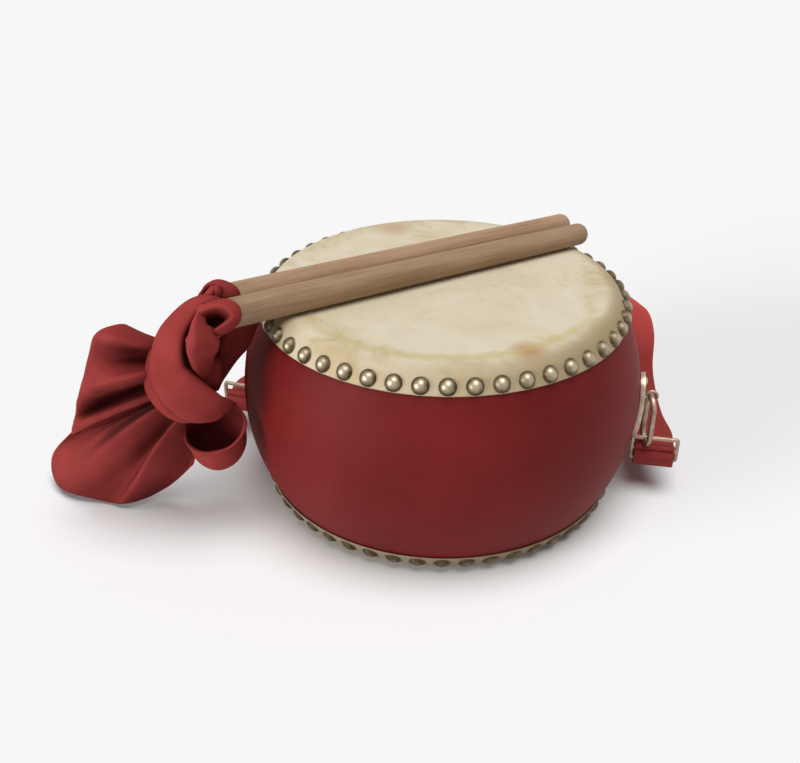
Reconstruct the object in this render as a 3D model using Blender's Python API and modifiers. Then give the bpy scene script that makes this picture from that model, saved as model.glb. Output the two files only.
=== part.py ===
"""A low barrel drum with two tacked hide heads, strap rings, a webbing strap and two sticks tied in a sash.

Metres, +Z up. The drum stands on its bottom head with its axis on Z, and the sticks lie on the top head.
"""

from math import asin, cos, pi, radians, sin, sqrt

import bmesh
import bpy
from mathutils import Matrix, Vector

MM = 0.001
GAP = 0.3 * MM

# Drum: the side is one arc, and each end rolls over a rounded rim
HEIGHT = 136.5 * MM
BELLY_RADIUS = 125 * MM
BARREL_ARC = 116 * MM
RIM_ANGLE = radians(32)
RIM_MIDDLE = radians(65)
BELLY_BORE = 111 * MM
END_BORE = 90 * MM
BORE_HALF_HEIGHT = 17 * MM
SIDE_ANGLES = (22, 13, 4)
TURN_STEPS = 48
DRUM_TURN = radians(3.05)

# Hides and tacks, placed by their angle above the belly line
HIDE_THICKNESS = 1.2 * MM
TACK_ANGLE = radians(30.5)
HEM_ANGLE = radians(28.2)
TACKS = 48
TACK_RADIUS = 5 * MM
TACK_DOMES = {"top": 3.4 * MM, "bottom": 1.8 * MM}
TACK_CROWN = 0.81
TACK_EDGE = 0.58
TACK_SHANK = 1.1 * MM
TACK_HOLE = 2.8 * MM
TACK_WIRE = 1.6 * MM
TACK_WIRE_DEPTH = 4 * MM
TACK_GROOVE_WIDTH = 3 * MM
TACK_GROOVE_DEPTH = 6.5 * MM

# Strap fittings, in the frame of each side: x out of the drum, y round it, z up
RING_AZIMUTHS = {"right": radians(-10), "left": radians(164)}
TOWARDS_BACK = {"right": 1, "left": -1}
PLATE_HEIGHT = 44 * MM
PLATE_WIDTH = 20 * MM
PLATE_THICKNESS = 3 * MM
PLATE_CENTRE_Z = 63 * MM
NAIL_SPREAD = 17 * MM
NAIL_SHANK = 1 * MM
NAIL_HEAD = 2.6 * MM
NAIL_LENGTH = 9 * MM
PIN_Z = 70 * MM
PIN_WIRE = 0.9 * MM
PIN_LEG_OFFSET = 1.15 * MM
PIN_HOLE = 2.6 * MM
EYE_RADIUS = 3.4 * MM
EYE_X = 132.6 * MM
WASHER_RADIUS = 8 * MM
WASHER_THICKNESS = 1.2 * MM
WASHER_X = BELLY_BORE - 1.6 * MM
RING_WIRE = 1.6 * MM
RING_HALF_WIDTH = 7.9 * MM
RING_DROP = 33.7 * MM
RING_TWIST = radians(13)
RING_TOP_Z = PIN_Z - (EYE_RADIUS - PIN_WIRE - RING_WIRE - GAP)

# Three-bar slider that hangs on the ring by its top bar
SLIDER_X = 138.9 * MM
SLIDER_WIDTH = 30.5 * MM
SLIDER_SLOT = 25.8 * MM
SLIDER_THICKNESS = 2.2 * MM
SLIDER_BAR = 2.4 * MM
SLIDER_PITCH = 7.6 * MM
SLIDER_HOOK_GAP = 0.5 * MM
SLIDER_TOP_Z = RING_TOP_Z - RING_DROP + RING_WIRE + SLIDER_BAR / 2 + SLIDER_HOOK_GAP

# Webbing
WEB_WIDTH = 25 * MM
WEB_THICKNESS = 1.3 * MM
ROLL_PITCH = 1.7 * MM
ROLL_TURNS = 1.1
ROLL_RADIUS = 4.45 * MM
WEB_END = (9.2, -7.2)
JOIN_GAP = 1.8 * MM
JOIN_DIRECTION = (-0.08, 0.99, 0)

# Route of the strap behind the drum: centre in mm, then the direction of its outer edge
STRAP_ROUTE = (
    ((137.7, 9, 32.5), (1, 0, 0)),
    ((137.3, 25, 34.2), (1, 0.05, 0)),
    ((137.5, 41, 38.8), (1, 0.1, 0)),
    ((137, 51.5, 51), (0.97, 0.1, -0.2)),
    ((137, 58, 73), (0.9, 0.15, -0.4)),
    ((133, 68, 88), (0.75, 0.15, -0.6)),
    ((126, 84, 93), (0.65, 0.3, -0.65)),
    ((116, 104, 84), (0.6, 0.5, -0.6)),
    ((104, 122, 62), (0.65, 0.7, -0.3)),
    ((92, 136, 34), (0.6, 0.8, 0)),
    ((76, 148, 10), (0.5, 0.86, 0)),
    ((52, 158, 1.8), (0.3, 0.95, 0)),
    ((15, 164, 1.8), (0.05, 1, 0)),
    ((-30, 162, 1.8), (-0.1, 1, 0)),
    ((-72, 150, 1.8), (-0.4, 0.92, 0)),
    ((-104, 124, 2.2), (-0.75, 0.66, 0)),
    ((-116, 98, 8), (-0.93, 0.36, 0)),
    ((-123, 76, 24), (-0.95, 0.3, 0)),
)

# Sticks: they lie side by side on the top head, with their butts out past the left front rim
STICK_LENGTH = 249 * MM
STICK_BUTT_RADIUS = 8.5 * MM
STICK_TIP_RADIUS = 7 * MM
STICK_STRAIGHT = 36 * MM
STICK_HEADING = radians(29.63)
STICK_DIP = radians(0.32)
STICK_SPACING = 18.7 * MM
STICK_REST_GAP = 0.5 * MM
FRONT_BUTT = Vector((-121.9 * MM, -62.15 * MM, HEIGHT + STICK_BUTT_RADIUS + STICK_REST_GAP))

# Sash: a loop on each butt, one knot, and the bows and tails that leave it. Points are in mm
LOOP_PROFILE = ((6, 10.2), (2, 11.8), (-3, 12.8), (-8, 12), (-11, 8.5))
LOOP_END = -12.5
LOOP_MOUTH_RADII = (7, 7, 9)
KNOT_CORE = (-148, -62, 106)
KNOT_CORE_RADII = (19, 16, 22)
KNOT_WRAP = (
    ((-136, -60, 150), 9, 4),
    ((-147, -66, 142), 11, 5),
    ((-155, -71, 131), 13, 6),
    ((-158, -75, 117), 14, 6.5),
    ((-155, -78, 104), 14, 6.5),
    ((-146, -79, 95), 13, 6.5),
    ((-135, -76, 93), 11, 5.5),
    ((-124, -68, 91), 5, 3),
)
KNOT_STRAND = ((-127, -77, 141), (-133, -80, 130), (-138, -78, 117), (-139, -72, 104))
KNOT_STRAND_RADIUS = 7
UPPER_BOW_ROOT = ((-151, -60, 121), (-155, -62, 115), (-156, -63, 109), (-156, -63, 103))
UPPER_BOW_HEM = (
    (-181, -56, 135),
    (-196, -56, 128),
    (-204, -56, 112),
    (-213, -55, 93),
    (-221, -51, 71),
    (-222, -45, 55),
)
UPPER_BOW_RIDGES = ((0.08, 5, 0.24), (0.56, 8, 0.2), (0.92, 6, 0.16))
UPPER_BOW_FACING = (-0.35, -0.85, 0.4)
BOW_TURN = 2.6
BOW_PUFF = 6.5
LOWER_TAIL_ROOT = ((-159, -56, 90), (-155, -62, 88), (-147, -66, 86.5), (-141, -61, 88))
LOWER_TAIL_HEM = (
    (-228, -28, 50),
    (-253, -14, 17),
    (-246, -31, 4),
    (-221, -43, 2.6),
    (-197, -48, 2.6),
    (-176, -43, 11),
    (-154, -50, 35),
)
LOWER_TAIL_RIDGES = ((0.14, 3, 0.14), (0.42, 10, 0.17), (0.7, 10, 0.15), (0.97, 4, 0.12))
LOWER_TAIL_FACING = (-0.3, -0.75, 0.6)
SIDE_BOW_CENTRE = (-134, -66, 69)
SIDE_BOW_RADII = (17, 15, 24)
SIDE_BOW_MOUTH = (-0.12, -0.28, 0.95)
SIDE_BOW_MOUTH_OFFSET = 2
HANGING_STRIP = ((-120, -45, 132), (-124, -47, 119), (-128, -49, 107), (-134, -52, 94))
HANGING_STRIP_WIDTH = 12
CLOTH_THICKNESS = 2.2
CLOTH_GAP = 0.4

WEBBING_RED = "A92A2C"
CLOTH_RED = "8E2426"
BRASS = "A08A62"

SHARP_ANGLE = radians(40)

MID = HEIGHT / 2
ARC_CENTRE = BELLY_RADIUS - BARREL_ARC
SHELL_TOP = HEIGHT - HIDE_THICKNESS - GAP


def on_barrel(angle, out=0.0):
    """(radius, height) on the side arc at this angle above the belly line, this far outside the shell."""
    reach = BARREL_ARC + out
    return (ARC_CENTRE + reach * cos(angle), MID + reach * sin(angle))


RIM_ROUND = (SHELL_TOP - on_barrel(RIM_ANGLE)[1]) / (1 - sin(RIM_ANGLE))
RIM_CENTRE_R = on_barrel(RIM_ANGLE)[0] - RIM_ROUND * cos(RIM_ANGLE)
RIM_CENTRE_Z = SHELL_TOP - RIM_ROUND


def on_rim(angle, out=0.0):
    """(radius, height) on the rim's rounding, this far outside the shell."""
    reach = RIM_ROUND + out
    return (RIM_CENTRE_R + reach * cos(angle), RIM_CENTRE_Z + reach * sin(angle))


def flipped(profile):
    """The same profile for the lower end of the drum, still running down its outer side."""
    return [(radius, HEIGHT - height) for radius, height in reversed(profile)]


def mm_points(points):
    return [Vector(point) * MM for point in points]


def smooth_through(points, count):
    """This many points along a smooth curve through the given ones."""
    points = [Vector(point) for point in points]
    ends = [2 * points[0] - points[1]] + points + [2 * points[-1] - points[-2]]
    spans = len(points) - 1
    found = []
    for i in range(count):
        place = i * spans / (count - 1)
        span = min(int(place), spans - 1)
        t = place - span
        a, b, c, d = ends[span : span + 4]
        found.append(
            0.5 * (2 * b + (c - a) * t + (2 * a - 5 * b + 4 * c - d) * t**2 + (3 * b - a - 3 * c + d) * t**3)
        )
    return found


def clear_scene():
    for obj in list(bpy.data.objects):
        bpy.data.objects.remove(obj)
    for collection in list(bpy.data.collections):
        bpy.data.collections.remove(collection)


def new_collection(name):
    collection = bpy.data.collections.new(name)
    bpy.context.scene.collection.children.link(collection)
    return collection


def new_material(name, colour, roughness, metallic=0.0):
    material = bpy.data.materials.new(name)
    material.use_nodes = True
    shader = material.node_tree.nodes["Principled BSDF"]
    channels = [int(colour[i : i + 2], 16) / 255 for i in (0, 2, 4)]
    linear = [c / 12.92 if c <= 0.04045 else ((c + 0.055) / 1.055) ** 2.4 for c in channels]
    shader.inputs["Base Color"].default_value = (*linear, 1)
    shader.inputs["Roughness"].default_value = roughness
    shader.inputs["Metallic"].default_value = metallic
    material.diffuse_color = (*linear, 1)
    return material


def new_object(name, data, collection, material=None, parent=None):
    obj = bpy.data.objects.new(name, data)
    collection.objects.link(obj)
    if material:
        data.materials.clear()
        data.materials.append(material)
    if parent:
        obj.parent = parent
    if collection.name == "Cutters":
        obj.hide_render = True
        obj.display_type = "WIRE"
    return obj


def mesh_from(name, bm):
    mesh = bpy.data.meshes.new(name)
    bmesh.ops.recalc_face_normals(bm, faces=bm.faces)
    bm.to_mesh(mesh)
    bm.free()
    return mesh


def settled(obj):
    """The object with its modifiers, or its curve, turned into plain mesh."""
    bpy.context.view_layer.update()
    graph = bpy.context.evaluated_depsgraph_get()
    mesh = bpy.data.meshes.new_from_object(obj.evaluated_get(graph))
    bm = bmesh.new()
    bm.from_mesh(mesh)
    bmesh.ops.remove_doubles(bm, verts=bm.verts, dist=0.001 * MM)
    bm.to_mesh(mesh)
    bm.free()
    if obj.type == "MESH":
        obj.modifiers.clear()
        obj.data = mesh
        return obj
    name, parent, matrix = obj.name, obj.parent, obj.matrix_basis.copy()
    collection = obj.users_collection[0]
    material = obj.data.materials[0] if obj.data.materials else None
    bpy.data.objects.remove(obj)
    solid = new_object(name, mesh, collection, material, parent)
    solid.matrix_basis = matrix
    return solid


def boolean(obj, other, operation):
    modifier = obj.modifiers.new(operation.title(), "BOOLEAN")
    modifier.operation = operation
    modifier.object = other
    return obj


def turned(name, profile, collection, steps=TURN_STEPS, material=None, parent=None, closed=True):
    """A profile of (radius, height) points turned round local Z."""
    bm = bmesh.new()
    verts = [bm.verts.new((radius, 0, height)) for radius, height in profile]
    for first, second in zip(verts, verts[1:]):
        bm.edges.new((first, second))
    if closed:
        bm.edges.new((verts[-1], verts[0]))
    mesh = bpy.data.meshes.new(name)
    bm.to_mesh(mesh)
    bm.free()
    obj = new_object(name, mesh, collection, material, parent)
    screw = obj.modifiers.new("Turn", "SCREW")
    screw.steps = steps
    screw.render_steps = steps
    screw.use_merge_vertices = True
    screw.merge_threshold = 0.01 * MM
    return obj


def wire(name, points, radius, collection, material, parent=None, cyclic=False, resolution=1):
    """A round wire along the points."""
    curve = bpy.data.curves.new(name, "CURVE")
    curve.dimensions = "3D"
    curve.bevel_depth = radius
    curve.bevel_resolution = resolution
    curve.use_fill_caps = True
    spline = curve.splines.new("POLY")
    spline.points.add(len(points) - 1)
    for place, point in zip(spline.points, points):
        place.co = (*point, 1)
    spline.use_cyclic_u = cyclic
    return new_object(name, curve, collection, material, parent)


def outline(name, loops, thickness, collection, material=None, parent=None):
    """A flat plate between outlines in local XY, centred on its thickness. Inner outlines are holes."""
    curve = bpy.data.curves.new(name, "CURVE")
    curve.dimensions = "2D"
    curve.fill_mode = "BOTH"
    curve.extrude = thickness / 2
    for loop in loops:
        spline = curve.splines.new("POLY")
        spline.points.add(len(loop) - 1)
        for place, (x, y) in zip(spline.points, loop):
            place.co = (x, y, 0, 1)
        spline.use_cyclic_u = True
    return new_object(name, curve, collection, material, parent)


def rounded_box(width, height, radius, centre_y=0.0, corner_points=3):
    """Corner points of a rectangle with rounded corners."""
    loop = []
    for turn in range(4):
        sign_x = 1 if turn in (0, 3) else -1
        sign_y = 1 if turn in (0, 1) else -1
        for step in range(corner_points):
            angle = pi / 2 * (turn + step / (corner_points - 1))
            x = sign_x * (width / 2 - radius) + radius * cos(angle)
            y = sign_y * (height / 2 - radius) + radius * sin(angle)
            loop.append((x, centre_y + y))
    return loop


def loft(name, sections, collection, material=None, parent=None):
    """A closed skin over rings of equal length, with flat ends."""
    bm = bmesh.new()
    rings = [[bm.verts.new(point) for point in section] for section in sections]
    for first, second in zip(rings, rings[1:]):
        for i in range(len(first)):
            j = (i + 1) % len(first)
            bm.faces.new((first[i], first[j], second[j], second[i]))
    bm.faces.new(rings[0])
    bm.faces.new(rings[-1])
    return new_object(name, mesh_from(name, bm), collection, material, parent)


def thickened(obj, thickness):
    """A surface made into cloth of this thickness, in flat triangles."""
    solidify = obj.modifiers.new("Thickness", "SOLIDIFY")
    solidify.thickness = thickness
    solidify.offset = 0
    obj.modifiers.new("Triangles", "TRIANGULATE")
    return settled(obj)


def sheet(name, rows, thickness, collection, material=None):
    """A grid of points made into cloth of this thickness."""
    bm = bmesh.new()
    grid = [[bm.verts.new(point) for point in row] for row in rows]
    for first, second in zip(grid, grid[1:]):
        for i in range(len(first) - 1):
            bm.faces.new((first[i], first[i + 1], second[i + 1], second[i]))
    return thickened(new_object(name, mesh_from(name, bm), collection, material), thickness)


def ribbon(name, centres, edges, collection, material, parent=None):
    """Webbing along the centres, with its width towards the given edge directions."""
    sections = []
    for i, centre in enumerate(centres):
        along = centres[min(i + 1, len(centres) - 1)] - centres[max(i - 1, 0)]
        along.normalize()
        across = (edges[i] - along * edges[i].dot(along)).normalized()
        half_width = across * WEB_WIDTH / 2
        half_thickness = along.cross(across) * WEB_THICKNESS / 2
        sections.append(
            [
                centre - half_width - half_thickness,
                centre + half_width - half_thickness,
                centre + half_width + half_thickness,
                centre - half_width + half_thickness,
            ]
        )
    return loft(name, sections, collection, material, parent)


def rod_cutter(name, radius, start, end, cutters, parent, sides=8):
    """A round cutter along local X of its parent."""
    bm = bmesh.new()
    bmesh.ops.create_cone(
        bm, cap_ends=True, segments=sides, radius1=radius, radius2=radius, depth=end - start
    )
    bmesh.ops.rotate(bm, verts=bm.verts, matrix=Matrix.Rotation(pi / 2, 3, "Y"))
    bmesh.ops.translate(bm, verts=bm.verts, vec=((start + end) / 2, 0, 0))
    return new_object(name, mesh_from(name, bm), cutters, parent=parent)


def shell_profile():
    groove = []
    for along, depth in ((1, 0), (1, 1), (-1, 1), (-1, 0)):
        radius, height = on_barrel(TACK_ANGLE, -depth * TACK_GROOVE_DEPTH)
        shift = along * TACK_GROOVE_WIDTH / 2
        groove.append((radius - shift * sin(TACK_ANGLE), height + shift * cos(TACK_ANGLE)))
    upper = [(END_BORE, SHELL_TOP), (RIM_CENTRE_R, SHELL_TOP), on_rim(RIM_MIDDLE)]
    upper += [on_barrel(RIM_ANGLE)] + groove
    upper += [on_barrel(radians(angle)) for angle in SIDE_ANGLES]
    waist = [(BELLY_BORE, MID - BORE_HALF_HEIGHT), (BELLY_BORE, MID + BORE_HALF_HEIGHT)]
    return upper + flipped(upper) + waist


def hide_side(out, top):
    """One face of the top hide, from its middle out over the rim and down to its hem."""
    points = [(0, top), (RIM_CENTRE_R, top), on_rim(RIM_MIDDLE, out)]
    return points + [on_barrel(angle, out) for angle in (RIM_ANGLE, HEM_ANGLE)]


def hide_profile():
    return hide_side(HIDE_THICKNESS + GAP, HEIGHT) + hide_side(GAP, HEIGHT - HIDE_THICKNESS)[::-1]


def tack_frames(up):
    """A frame for each tack of one end, with Z out of the hide at the hide's outer face."""
    radius, height = on_barrel(TACK_ANGLE, HIDE_THICKNESS + GAP)
    tilt = pi / 2 - TACK_ANGLE
    for i in range(TACKS):
        azimuth = DRUM_TURN + (i + 0.5) * 2 * pi / TACKS
        place = Matrix.Translation((radius, 0, height - MID)) @ Matrix.Rotation(tilt, 4, "Y")
        flip = Matrix.Diagonal((1, 1, up, 1))
        spin = Matrix.Rotation(azimuth, 4, "Z")
        yield Matrix.Translation((0, 0, MID)) @ spin @ flip @ place


def tack_row(end, parts, cutters, material):
    """All the tacks of one end. A thin wire in the shell's groove, under the hide, makes them one piece."""
    name = end + "_tacks"
    up = 1 if end == "top" else -1
    dome = TACK_DOMES[end]
    edge = TACK_EDGE * dome
    shank_top = GAP + edge / 2
    shank_end = -(HIDE_THICKNESS + GAP + TACK_WIRE_DEPTH + GAP)
    domes, shanks, holes = bmesh.new(), bmesh.new(), bmesh.new()
    for frame in tack_frames(up):
        cone = bmesh.ops.create_cone(
            domes,
            cap_ends=True,
            segments=6,
            radius1=TACK_RADIUS,
            radius2=TACK_RADIUS * TACK_CROWN,
            depth=edge,
            matrix=frame @ Matrix.Translation((0, 0, GAP + edge / 2)),
        )
        top = max(
            {face for vert in cone["verts"] for face in vert.link_faces},
            key=lambda face: (frame.inverted() @ face.calc_center_median()).z,
        )
        crown = bmesh.ops.poke(domes, faces=[top])["verts"][0]
        crown.co = frame @ Vector((0, 0, GAP + dome))
        bmesh.ops.create_cone(
            shanks,
            cap_ends=True,
            segments=3,
            radius1=TACK_SHANK,
            radius2=TACK_SHANK,
            depth=shank_top - shank_end,
            matrix=frame @ Matrix.Translation((0, 0, (shank_top + shank_end) / 2)),
        )
        box = Matrix.Diagonal((TACK_HOLE, TACK_HOLE, 8 * HIDE_THICKNESS, 1))
        bmesh.ops.create_cube(holes, size=1, matrix=frame @ box)
    hole_cutter = new_object(name + "_holes", mesh_from(name + "_holes", holes), cutters)
    shank_rods = new_object(name + "_shanks", mesh_from(name + "_shanks", shanks), cutters)
    radius, height = on_barrel(TACK_ANGLE, -TACK_WIRE_DEPTH)
    half = TACK_WIRE / 2
    corners = [(-half, half), (half, half), (half, -half), (-half, -half)]
    profile = [(radius + across, height + along) for across, along in corners]
    loop = turned(name + "_wire", profile if up > 0 else flipped(profile), cutters)
    loop.rotation_euler.z = DRUM_TURN
    row = new_object(name, mesh_from(name, domes), parts, material)
    boolean(row, shank_rods, "UNION")
    boolean(row, settled(loop), "UNION")
    return hole_cutter


def build_drum(parts, cutters, paint):
    shell = turned("drum_shell", shell_profile(), parts, material=paint["lacquer"])
    top = turned("top_head", hide_profile(), parts, material=paint["hide"], closed=False)
    bottom = turned("bottom_head", flipped(hide_profile()), parts, material=paint["hide"], closed=False)
    for obj in (shell, top, bottom):
        obj.rotation_euler.z = DRUM_TURN
    for head, end in ((top, "top"), (bottom, "bottom")):
        boolean(head, tack_row(end, parts, cutters, paint["tack"]), "DIFFERENCE")
    return shell


def plate(side, holder, parts, cutters, paint):
    """An oval plate bent to the shell, cut from a turned layer, with its pin and nail holes."""
    angles = [radians(angle) for angle in (15, 9, 3, -3, -9, -15)]
    outer = [on_barrel(angle, GAP + PLATE_THICKNESS) for angle in angles]
    inner = [on_barrel(angle, GAP) for angle in reversed(angles)]
    layer = turned(side + "_ring_plate", outer + inner, parts, material=paint["brass"])
    layer.rotation_euler.z = DRUM_TURN
    oval = rounded_box(PLATE_HEIGHT, PLATE_WIDTH, PLATE_WIDTH / 2 - 0.5 * MM, corner_points=5)
    blank = outline(side + "_plate_blank", [oval], 30 * MM, cutters, parent=holder)
    blank.matrix_basis = Matrix.Translation((BELLY_RADIUS, 0, PLATE_CENTRE_Z)) @ Matrix.Rotation(pi / 2, 4, "Y")
    return boolean(layer, settled(blank), "INTERSECT")


def split_pin(side, holder, parts, material):
    """One wire: an eye outside the plate, two legs through the wall, and their ends spread inside."""
    neck = sqrt(EYE_RADIUS**2 - PIN_LEG_OFFSET**2)
    inside = WASHER_X - WASHER_THICKNESS / 2
    leg = [(inside - 3.4 * MM, 9.5 * MM), (inside - 2.6 * MM, 4 * MM), (inside - 1 * MM, PIN_LEG_OFFSET)]
    start = pi - PIN_LEG_OFFSET / EYE_RADIUS
    steps = 12
    eye = []
    for step in range(steps + 1):
        angle = start - 2 * start * step / steps
        eye.append((EYE_X + EYE_RADIUS * cos(angle), EYE_RADIUS * sin(angle)))
    eye[0] = (EYE_X - neck, PIN_LEG_OFFSET)
    eye[-1] = (EYE_X - neck, -PIN_LEG_OFFSET)
    route = leg + eye + [(x, -z) for x, z in reversed(leg)]
    points = [(x, 0, PIN_Z + z) for x, z in route]
    return wire(side + "_split_pin", points, PIN_WIRE, parts, material, holder)


def nail(side, place, height, holder, parts, material):
    """A round-headed nail through the plate, square to the shell."""
    head = GAP + PLATE_THICKNESS + GAP
    profile = [(0, head + 1.1 * MM), (NAIL_HEAD * 0.75, head + 0.8 * MM), (NAIL_HEAD, head)]
    profile += [(NAIL_SHANK, head), (NAIL_SHANK, 2 * MM - NAIL_LENGTH), (0, -NAIL_LENGTH)]
    name = f"{side}_{place}_nail"
    obj = turned(name, profile, parts, 8, material, holder, closed=False)
    obj.matrix_basis = nail_frame(height)
    return obj


def nail_frame(height):
    """A frame on the shell's side at this height, with Z out of it."""
    angle = asin((height - MID) / BARREL_ARC)
    radius, level = on_barrel(angle)
    return Matrix.Translation((radius, 0, level)) @ Matrix.Rotation(pi / 2 - angle, 4, "Y")


def ring(side, holder, parts, material):
    """An oval link, from its top, which hangs in the pin's eye."""
    low = RING_DROP - RING_HALF_WIDTH
    points = []
    for step in range(7):
        angle = pi * step / 6
        points.append((0, RING_HALF_WIDTH * cos(angle), -RING_HALF_WIDTH + RING_HALF_WIDTH * sin(angle)))
    for step in range(7):
        angle = pi + pi * step / 6
        points.append((0, RING_HALF_WIDTH * cos(angle), -low + RING_HALF_WIDTH * sin(angle)))
    obj = wire(side + "_ring", points, RING_WIRE, parts, material, holder, cyclic=True, resolution=2)
    obj.rotation_euler.z = RING_TWIST
    obj.location = (EYE_X, 0, RING_TOP_Z)
    return obj


def slider(side, holder, parts, material):
    """A three-bar frame that hangs by its top bar, facing along the drum's side."""
    height = 2 * SLIDER_PITCH + SLIDER_BAR
    frame = rounded_box(SLIDER_WIDTH, height, 2 * MM, -SLIDER_PITCH)
    slots = []
    for middle in (0.5, 1.5):
        slots.append(rounded_box(SLIDER_SLOT, SLIDER_PITCH - SLIDER_BAR, 0.8 * MM, -middle * SLIDER_PITCH, 2))
    obj = outline(side + "_slider", [frame] + slots, SLIDER_THICKNESS, parts, material, holder)
    obj.matrix_basis = Matrix.Translation((SLIDER_X, 0, SLIDER_TOP_Z)) @ Matrix.Rotation(pi / 2, 4, "X")
    return obj


def strap_end(side, holder, parts, material):
    """The webbing rolled on the slider's bottom bar, up to where the long band starts."""
    back = TOWARDS_BACK[side]
    bottom = -2 * SLIDER_PITCH
    centres = []
    steps = 16
    for step in range(steps):
        turn = -ROLL_TURNS * (1 - step / (steps - 1))
        radius = ROLL_RADIUS + ROLL_PITCH * turn
        centres.append((radius * cos(2 * pi * turn), bottom + radius * sin(2 * pi * turn)))
    centres += [(4.75 * MM, bottom + 2.8 * MM), (5.3 * MM, bottom + 5 * MM), (6.8 * MM, bottom + 7.1 * MM)]
    centres.append((WEB_END[0] * MM, WEB_END[1] * MM))
    points = [Vector((0, back * y, z)) for y, z in centres]
    edges = [Vector((1, 0, 0))] * len(points)
    obj = ribbon("strap_" + side + "_end", points, edges, parts, material, holder)
    obj.location = (SLIDER_X, 0, SLIDER_TOP_Z)
    return obj


def strap_join(side, beyond):
    """Where the long band meets a strap end, this far past it, and the direction of its outer edge there."""
    spin = Matrix.Rotation(RING_AZIMUTHS[side], 3, "Z")
    back = TOWARDS_BACK[side]
    inwards, along, up = JOIN_DIRECTION
    direction = Vector((inwards, back * along, up))
    end = Vector((SLIDER_X, back * WEB_END[0] * MM, SLIDER_TOP_Z + WEB_END[1] * MM))
    return spin @ (end + direction * beyond), spin @ Vector((1, 0, 0))


def strap_band(parts, material):
    """The long band of webbing behind the drum, from one strap end to the other."""
    places = [strap_join("right", JOIN_GAP), strap_join("right", 10 * MM)]
    places += [(Vector(centre) * MM, Vector(edge)) for centre, edge in STRAP_ROUTE]
    places += [strap_join("left", 10 * MM), strap_join("left", JOIN_GAP)]
    count = 2 * len(places) + 1
    centres = smooth_through([centre for centre, _ in places], count)
    edges = smooth_through([edge for _, edge in places], count)
    return ribbon("strap_band", centres, edges, parts, material)


def build_fittings(side, shell, parts, cutters, paint):
    holder = bpy.data.objects.new(side + "_fittings", None)
    parts.objects.link(holder)
    holder.rotation_euler.z = RING_AZIMUTHS[side]
    ring_plate = plate(side, holder, parts, cutters, paint)
    pin_hole = rod_cutter(side + "_pin_hole", PIN_HOLE, WASHER_X - 20 * MM, EYE_X, cutters, holder)
    pin_hole.location.z = PIN_Z
    for obj in (shell, ring_plate):
        boolean(obj, pin_hole, "DIFFERENCE")
    split_pin(side, holder, parts, paint["brass"])
    for place, sign in (("upper", 1), ("lower", -1)):
        height = PLATE_CENTRE_Z + sign * NAIL_SPREAD
        nail(side, place, height, holder, parts, paint["brass"])
        bm = bmesh.new()
        radius = NAIL_SHANK + GAP
        bmesh.ops.create_cone(bm, cap_ends=True, segments=8, radius1=radius, radius2=radius, depth=24 * MM)
        name = f"{side}_{place}_nail_hole"
        hole = new_object(name, mesh_from(name, bm), cutters, parent=holder)
        hole.matrix_basis = nail_frame(height) @ Matrix.Translation((0, 0, 12 * MM - NAIL_LENGTH - GAP))
        for obj in (shell, ring_plate):
            boolean(obj, hole, "DIFFERENCE")
    washer_profile = [
        (PIN_HOLE, WASHER_THICKNESS / 2),
        (WASHER_RADIUS, WASHER_THICKNESS / 2),
        (WASHER_RADIUS, -WASHER_THICKNESS / 2),
        (PIN_HOLE, -WASHER_THICKNESS / 2),
    ]
    washer = turned(side + "_washer", washer_profile, parts, 12, paint["steel"], holder)
    washer.rotation_euler.y = pi / 2
    washer.location = (WASHER_X, 0, PIN_Z)
    ring(side, holder, parts, paint["brass"])
    slider(side, holder, parts, paint["brass"])
    strap_end(side, holder, parts, paint["webbing"])


def stick_frame(index):
    """Local Z runs from the butt to the tip. Index 0 is the front stick and 1 the back one."""
    turn = Matrix.Rotation(STICK_HEADING, 4, "Z")
    lay = Matrix.Rotation(pi / 2 + STICK_DIP, 4, "Y")
    shift = turn @ Vector((0, index * STICK_SPACING, 0))
    return Matrix.Translation(FRONT_BUTT + shift) @ turn @ lay


def stick(name, index, parts, material):
    tip = STICK_TIP_RADIUS
    profile = [(0, STICK_LENGTH), (tip * 0.62, STICK_LENGTH - 1.4 * MM), (tip * 0.95, STICK_LENGTH - 5 * MM)]
    profile += [(tip, STICK_LENGTH - 8 * MM), (STICK_BUTT_RADIUS, STICK_STRAIGHT)]
    profile += [(STICK_BUTT_RADIUS, 1.5 * MM), (STICK_BUTT_RADIUS - 1.5 * MM, 0), (0, 0)]
    obj = turned(name, profile, parts, 16, material, closed=False)
    obj.matrix_basis = stick_frame(index)
    return obj


def loop_blank(name, index, grow, collection, material=None):
    """The outside of one sash loop, turned round its stick and closed at the butt."""
    profile = [(0, (LOOP_PROFILE[0][0] + grow) * MM)]
    for place, (height, radius) in enumerate(LOOP_PROFILE):
        lift = grow if place == 0 else 0
        profile.append(((radius + grow) * MM, (height + lift) * MM))
    profile.append((0, (LOOP_END - grow) * MM))
    obj = turned(name, profile, collection, 14, material, closed=False)
    obj.matrix_basis = stick_frame(index)
    return obj


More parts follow.
